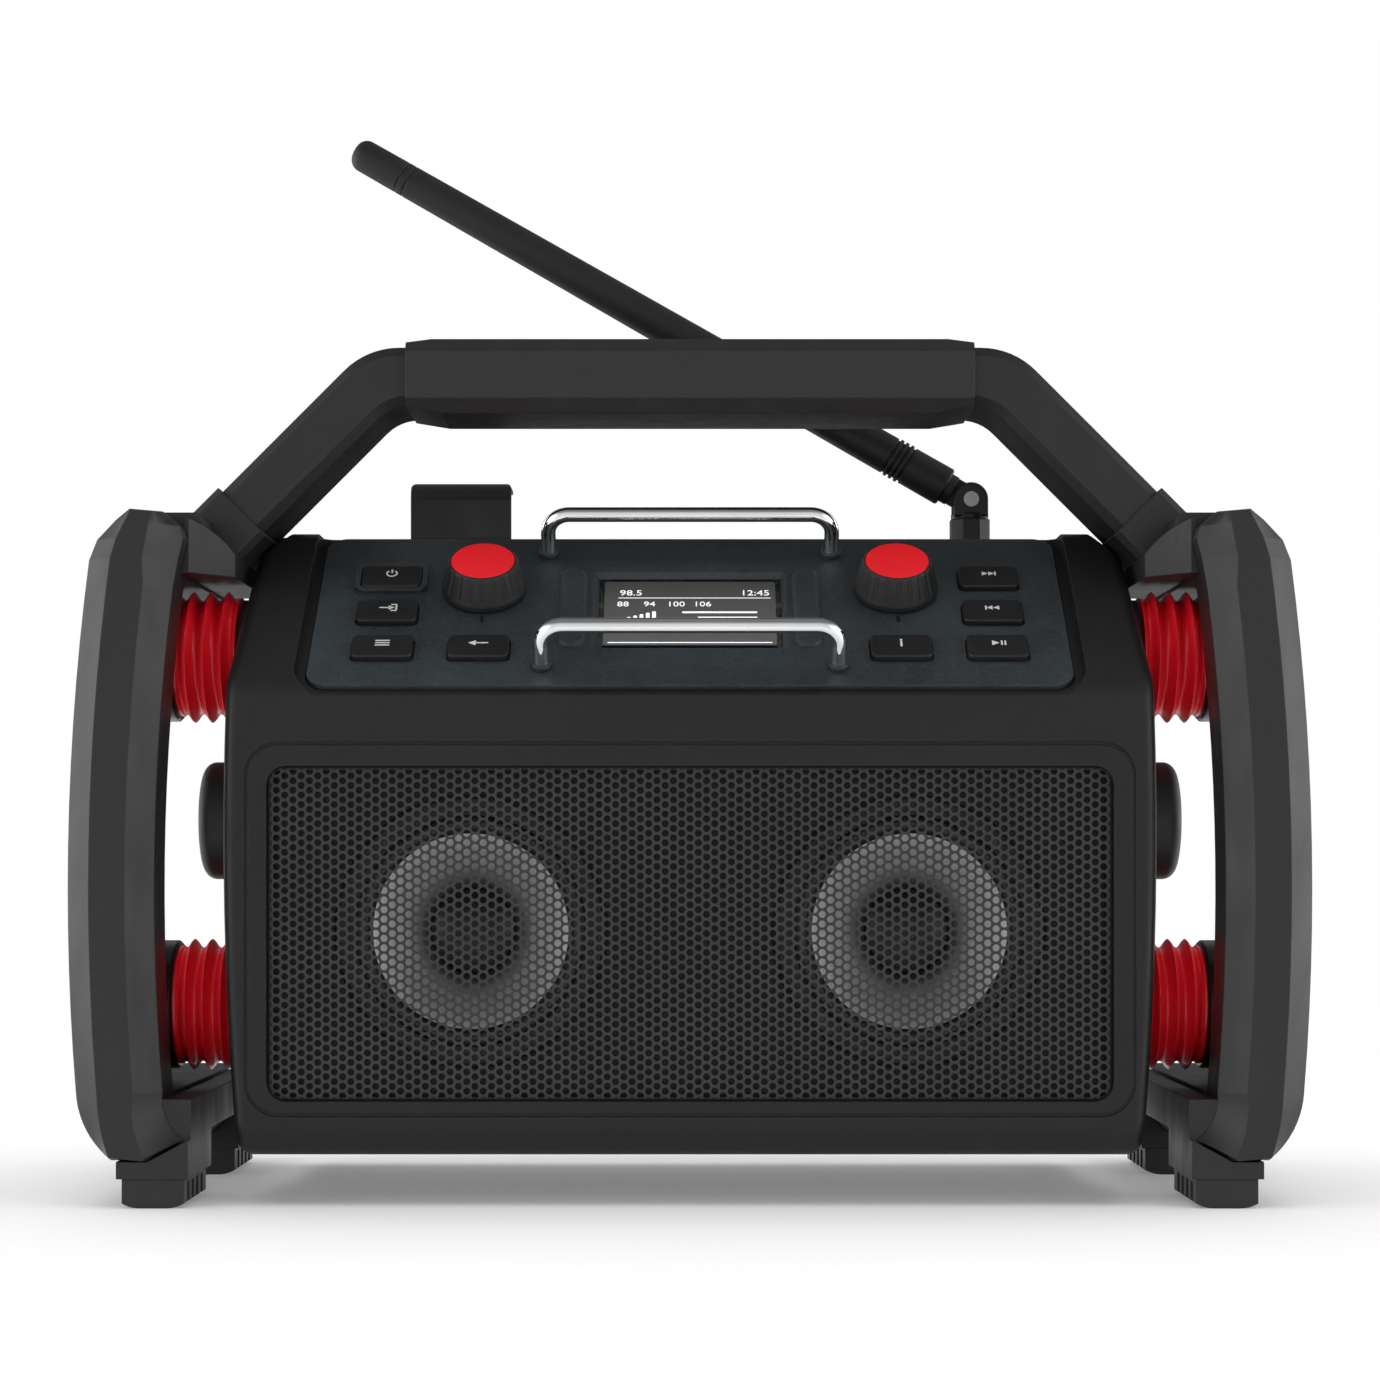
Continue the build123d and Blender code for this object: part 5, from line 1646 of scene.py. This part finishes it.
@dataclass
class Buttons(Assembly):
    """The signs on the eight push buttons and the marks by the knobs."""

    panel: PanelPlane = field(default_factory=PanelPlane)
    stand: float = 2.0 * MM
    sign_rise: float = 1.1 * MM
    line: float = 0.55 * MM
    mark_drop: float = 16.2 * MM
    mark_length: float = 3.6 * MM
    mark_width: float = 1.1 * MM

    def draw(self, icon: Icon) -> Pen:
        """Draws one sign about the origin.

        Args:
            icon: which sign.

        Returns:
            The pen that holds its strokes.
        """
        pen = Pen(f"{icon.value}_sign")
        line = self.line
        if icon is Icon.POWER:
            pen.ring(0, 0, radius=1.9 * MM, line=line, gap_deg=70)
            pen.bar(0, 1.2 * MM, width=line, height=2.0 * MM)
        elif icon is Icon.SOURCE:
            tall, deep, middle = 3.4 * MM, 2.0 * MM, 2.1 * MM
            pen.bar(-0.7 * MM, 0, width=3.6 * MM, height=line)
            pen.triangle(1.1 * MM, 0, radius=1.3 * MM)
            pen.bar(2.9 * MM, 0, width=line, height=tall)
            for y in (tall / 2, -tall / 2):
                pen.bar(middle, y, width=deep, height=line)
        elif icon is Icon.MENU:
            for row in (-1, 0, 1):
                pen.bar(0, row * 1.25 * MM, width=4.6 * MM, height=line)
        elif icon is Icon.BACK:
            pen.triangle(-1.7 * MM, 0, radius=1.6 * MM, turn_deg=180)
            pen.bar(1.0 * MM, 0, width=4.0 * MM, height=line)
        elif icon is Icon.INFO:
            pen.disc(0, 1.6 * MM, radius=0.42 * MM)
            pen.bar(0, -0.5 * MM, width=1.2 * line, height=2.9 * MM)
        elif icon is Icon.PLAY:
            pen.triangle(-1.0 * MM, 0, radius=1.5 * MM, squeeze=1.05)
            for x in (1.3 * MM, 2.4 * MM):
                pen.bar(x, 0, width=line, height=2.5 * MM)
        else:
            way, turn_deg = (1, 0) if icon is Icon.NEXT else (-1, 180)
            for x in (-1.4 * MM, 0.7 * MM):
                pen.triangle(way * x, 0, radius=1.3 * MM, turn_deg=turn_deg)
            pen.bar(way * 2.2 * MM, 0, width=line, height=2.3 * MM)
        return pen

    def build(self) -> None:
        """Prints every sign on its button, and a dark mark below each knob."""
        rise = Matrix.Translation((0, self.sign_rise, 0))
        for icon in Icon:
            place = self.panel.on(f"{icon.value}_key", self.stand)
            self.fit(self.draw(icon).finish(place @ rise), "white_ink", f"{icon.value}_key_body")
        for name in ("volume", "tuning"):
            pen = Pen(f"{name}_knob_mark")
            pen.bar(0, -self.mark_drop, width=self.mark_width, height=self.mark_length)
            joint = next(joint for joint in frame["joints"] if joint["name"] == f"{name}_knob_turn")
            self.fit(pen.finish(self.panel.at(joint["pos_m"][0], 0, 0)), "dark_ink", "chassis")


@dataclass
class Display(Assembly):
    """The lit picture behind the display window: generic figures, rules and bars."""

    panel: PanelPlane = field(default_factory=PanelPlane)
    width: float = 55.0 * MM
    height: float = 36.0 * MM
    depth: float = -1.45 * MM
    corner: float = 1.0 * MM
    film: float = 0.1 * MM
    print_film: float = 0.04 * MM
    top_row: float = 6.6 * MM
    top_size: float = 4.3 * MM
    clock_inset: float = 6.5 * MM
    frequency_inset: float = 8.5 * MM
    rule_row: float = 9.4 * MM
    rule_line: float = 0.32 * MM
    rule_shift: float = 1.5 * MM
    rule_margin: float = 6 * MM
    number_row: float = 13.0 * MM
    number_size: float = 3.9 * MM
    number_inset: float = 6 * MM
    number_pitch: float = 8.5 * MM
    numbers: tuple[str, ...] = ("88", "94", "100", "106")
    bars: tuple[tuple[float, float], ...] = ((17.6 * MM, 24.0 * MM), (20.6 * MM, 19.0 * MM))
    bar_inset: float = 6 * MM
    bar_line: float = 0.9 * MM
    steps: int = 5
    step_row: float = 21.5 * MM
    step_inset: float = 8 * MM
    step_pitch: float = 2 * MM
    step_width: float = 1.2 * MM
    step_low: float = 1.2 * MM
    step_growth: float = 0.8 * MM
    foot_row: float = 34.6 * MM
    foot_margin: float = 3 * MM
    foot_line: float = 0.45 * MM

    def build(self) -> None:
        """Models the lit screen and what it shows."""
        screen = Bench.start("lit_screen", bpy.ops.mesh.primitive_plane_add, size=1.0)
        screen.scale = (self.width, self.height, 1)
        bpy.ops.object.transform_apply(scale=True)
        Bench.edit(screen)
        bpy.ops.mesh.bevel(affect="VERTICES", offset=self.corner, segments=4)
        Bench.done()
        Bench.thicken(screen, self.film, 1)
        Bench.place(screen, self.panel.on("display_window", self.depth))
        self.fit(screen, "screen_glow", "chassis")
        picture = self.picture().finish(self.panel.on("display_window", self.depth + self.film))
        self.fit(picture, "screen_ink", "chassis")

    def picture(self) -> Pen:
        """The read-out: a frequency, a clock, a row of numbers, two bars and the signal's strength.

        Returns:
            The pen that holds its strokes.
        """
        pen = Pen("screen_picture", thickness=self.print_film)
        left, right, top = -self.width / 2, self.width / 2, self.height / 2
        pen.figures("12:45", right - self.clock_inset, top - self.top_row, self.top_size)
        pen.figures("98.5", left + self.frequency_inset, top - self.top_row, self.top_size)
        rule = self.width - self.rule_margin
        pen.bar(self.rule_shift, top - self.rule_row, width=rule, height=self.rule_line)
        for place, number in enumerate(self.numbers):
            x = left + self.number_inset + self.number_pitch * place
            pen.figures(number, x, top - self.number_row, self.number_size)
        for row, length in self.bars:
            x = right - self.bar_inset - length / 2
            pen.bar(x, top - row, width=length, height=self.bar_line)
        for step in range(self.steps):
            height = self.step_low + self.step_growth * step
            x = left + self.step_inset + self.step_pitch * step
            pen.bar(x, top - self.step_row + height / 2, width=self.step_width, height=height)
        foot = self.width - self.foot_margin
        pen.bar(0, top - self.foot_row, width=foot, height=self.foot_line)
        return pen


# --------------------------------------------------------------------------- small fitted pieces


@dataclass
class Trims(Assembly):
    """The rings at the feet of the chrome rails and the webs between guards and handle sockets."""

    panel: PanelPlane = field(default_factory=PanelPlane)
    ring_x: float = 46.2 * MM
    ring_rows: tuple[tuple[str, float], ...] = (("front", -42.2 * MM), ("rear", 21.6 * MM))
    ring_outer: float = 3.3 * MM
    ring_inner: float = 2.42 * MM
    ring_height: float = 1.7 * MM
    ring_bevel: float = 0.5 * MM
    ring_corners: int = 40
    web_x: tuple[float, float] = (152 * MM, 168 * MM)
    web_y: tuple[float, float] = (-61 * MM, -16 * MM)
    web_z: tuple[float, float] = (206 * MM, 215.9 * MM)
    web_round: float = 3.0 * MM
    web_segments: int = 6

    def ring(self) -> bpy.types.Object:
        """One ring with an eased outer edge, standing on the XY plane.

        Returns:
            The closed ring.
        """
        piece = Bench.start(
            "rail_ring_model",
            bpy.ops.mesh.primitive_circle_add,
            vertices=self.ring_corners,
            radius=self.ring_outer,
            fill_type="NGON",
        )
        Bench.edit(piece)
        bpy.ops.mesh.select_mode(type="FACE")
        bpy.ops.mesh.inset(thickness=self.ring_outer - self.ring_inner)
        bpy.ops.mesh.delete(type="FACE")
        bpy.ops.mesh.select_all(action="SELECT")
        bpy.ops.mesh.extrude_region_move(TRANSFORM_OT_translate={"value": (0, 0, self.ring_height)})

        def on_outer_rim(edge: bmesh.types.BMEdge) -> bool:
            """Tells whether an edge is part of the upper outer rim.

            Args:
                edge: an edge of the ring.

            Returns:
                True for an edge of that rim.
            """
            inside = self.ring_outer - self.ring_bevel
            reach = min(Vector((corner.co.x, corner.co.y)).length for corner in edge.verts)
            return reach > inside and all(corner.co.z > self.ring_height - CLOSE for corner in edge.verts)

        select_edges(on_outer_rim)
        bpy.ops.mesh.bevel(offset=self.ring_bevel, segments=3, affect="EDGES")
        Bench.done()
        Bench.outward(piece)
        return piece

    def rings(self) -> None:
        """Puts a ring round each foot of the two rails."""
        model = self.ring()
        for row, s in self.ring_rows:
            places = [self.panel.at(side.value * self.ring_x, s, 0) for side in Side]
            copies = [Bench.copy(model, f"ring_{number}", place) for number, place in enumerate(places)]
            piece = Bench.join(f"{row}_rail_rings", copies)
            Bench.smooth(piece)
            self.fit(piece, "panel_plastic", "chassis", slot="panel_plastic")
        bpy.data.objects.remove(model)

    def webs(self) -> None:
        """Fills the corner between each guard's crown and its handle socket."""
        ranges = (self.web_x, self.web_y, self.web_z)
        middle = Vector([(low + high) / 2 for low, high in ranges])
        size = [high - low for low, high in ranges]
        top = self.web_z[1]
        for side in Side:
            piece = Bench.start(
                f"socket_web_{side.name.lower()}",
                bpy.ops.mesh.primitive_cube_add,
                size=1.0,
                location=(side.value * middle.x, middle.y, middle.z),
                scale=size,
            )
            bpy.ops.object.transform_apply(location=True, rotation=True, scale=True)
            Bench.edit(piece)
            inner = side.value * self.web_x[0]

            def inner_top(edge: bmesh.types.BMEdge) -> bool:
                """True for the long edge at the top that faces the housing."""
                places = [(corner.co.x, corner.co.z) for corner in edge.verts]
                return all(abs(x - inner) < CLOSE and abs(z - top) < CLOSE for x, z in places)

            select_edges(inner_top)
            bpy.ops.mesh.bevel(offset=self.web_round, segments=self.web_segments, affect="EDGES")
            Bench.done()
            Bench.outward(piece)
            Bench.smooth(piece)
            self.fit(piece, "guard_plastic", "chassis", slot="guard_plastic")

    def build(self) -> None:
        """Models the rings and the webs."""
        self.rings()
        self.webs()


# --------------------------------------------------------------------------- floor, light and camera


@dataclass
class Studio:
    """A pale floor, a soft white room with bright walls, and the camera."""

    lens: float = 78.26
    sensor: float = 36.0
    shift_y: float = 0.1304
    camera_place: tuple[float, float, float] = (0.0, -1.0, 0.104)
    floor_size: float = 2.4
    floor_fade: tuple[float, float] = (0.26, 0.95)
    floor_colour: tuple[float, float, float] = (0.85, 0.85, 0.85)
    floor_lift: float = 0.19
    floor_roughness: float = 0.9
    floor_gloss: float = 0.1
    wall: float = 0.8
    side_wall: float = 2.6
    side_turn: tuple[float, float] = (0.5, 0.92)
    ceiling: float = 0.2
    ceiling_turn: tuple[float, float] = (0.1, 0.85)
    far_end: float = 0.13
    far_turn: tuple[float, float] = (0.7, 0.93)
    far_rise: tuple[float, float] = (0.35, 0.6)
    diffuse_share: float = 0.75
    sun_strength: float = 2.0
    sun_angle: float = radians(75)
    sun_height: float = 2.0

    def camera(self) -> None:
        """Stands the camera in front of the radio, level, with its view moved up."""
        data = bpy.data.cameras.new("camera")
        data.lens = self.lens
        data.sensor_width = self.sensor
        data.shift_y = self.shift_y
        camera = bpy.data.objects.new("camera", data)
        camera.location = self.camera_place
        camera.rotation_euler = (pi / 2, 0, 0)
        bpy.context.scene.collection.objects.link(camera)
        bpy.context.scene.camera = camera

    def floor(self) -> None:
        """Lays the floor, which keeps the shadow and fades into the white room."""
        floor = Bench.start("floor", bpy.ops.mesh.primitive_plane_add, size=self.floor_size)
        shader = Shader("white_floor")
        shader.set(Base_Color=(*self.floor_colour, 1), Roughness=self.floor_roughness)
        shader.set(Specular_IOR_Level=self.floor_gloss)
        glow = shader.node("ShaderNodeEmission")
        seen = shader.seen("Is Camera Ray", "Is Glossy Ray", "Is Transmission Ray")
        shader.join(shader.math("MULTIPLY", seen, self.floor_lift), glow.inputs["Strength"])
        added = shader.node("ShaderNodeAddShader")
        shader.join(shader.surface.outputs["BSDF"], added.inputs[0])
        shader.join(glow.outputs["Emission"], added.inputs[1])
        out = shader.node("ShaderNodeVectorMath", operation="LENGTH")
        shader.join(shader.place(), out.inputs[0])
        fade = shader.node("ShaderNodeMixShader")
        shader.join(shader.between(out.outputs["Value"], *self.floor_fade, soft=True), fade.inputs["Fac"])
        shader.join(added.outputs["Shader"], fade.inputs[1])
        shader.join(shader.node("ShaderNodeBsdfTransparent").outputs["BSDF"], fade.inputs[2])
        shader.join(fade.outputs["Shader"], shader.output.inputs["Surface"])
        floor.data.materials.append(shader.material)

    def room(self) -> None:
        """A white room: bright to the sides, plain in front, darker overhead and at its far end."""
        world = bpy.data.worlds.new("white_room")
        bpy.context.scene.world = world
        world.use_nodes = True
        nodes = Nodes(world.node_tree)
        background = world.node_tree.nodes["Background"]
        background.inputs["Color"].default_value = (1, 1, 1, 1)
        way = nodes.node("ShaderNodeSeparateXYZ")
        nodes.join(nodes.node("ShaderNodeTexCoord").outputs["Generated"], way.inputs["Vector"])
        sideways = nodes.math("ABSOLUTE", way.outputs["X"])
        walls = nodes.between(sideways, *self.side_turn, self.wall, self.side_wall, soft=True)
        overhead = nodes.between(way.outputs["Z"], *self.ceiling_turn, soft=True)
        fade = nodes.math("MULTIPLY", overhead, nodes.math("SUBTRACT", self.ceiling, walls))
        light = nodes.math("ADD", walls, fade)
        soft = nodes.math("MULTIPLY", light, self.diffuse_share)
        behind = nodes.between(way.outputs["Y"], *self.far_turn, soft=True)
        height = nodes.math("ABSOLUTE", way.outputs["Z"])
        level = nodes.between(height, *self.far_rise, 1.0, 0.0, soft=True)
        far_end = nodes.math("MULTIPLY", behind, level)
        dim = nodes.math("MULTIPLY", far_end, nodes.math("SUBTRACT", self.far_end, light))
        mirrored = nodes.seen("Is Glossy Ray")
        more = nodes.math("SUBTRACT", nodes.math("ADD", light, dim), soft)
        reflected = nodes.math("MULTIPLY_ADD", mirrored, more, soft)
        plain = nodes.seen("Is Camera Ray", "Is Transmission Ray")
        rest = nodes.math("MULTIPLY", reflected, nodes.math("SUBTRACT", 1.0, plain))
        nodes.join(nodes.math("ADD", rest, plain), background.inputs["Strength"])

    def overhead_light(self) -> None:
        """A broad lamp straight above, which gives the floor its even light and soft shadow."""
        data = bpy.data.lights.new("overhead_light", "SUN")
        data.energy = self.sun_strength
        data.angle = self.sun_angle
        lamp = bpy.data.objects.new("overhead_light", data)
        lamp.location = (0, 0, self.sun_height)
        lamp.visible_glossy = False
        bpy.context.scene.collection.objects.link(lamp)

    def build(self) -> None:
        """Sets up the studio."""
        bpy.context.scene.view_settings.view_transform = "Standard"
        self.camera()
        self.floor()
        self.room()
        self.overhead_light()


def main() -> None:
    """Builds and dresses the whole radio."""
    finishes = Finishes()
    finishes.dress_nodes()
    for assembly in (SpeakerGrille, Bellows, Whip, Buttons, Display, Trims):
        assembly(finishes).build()
        log.info("%s is built", assembly.__name__)
    Studio().build()


if __name__ == "__main__":
    main()
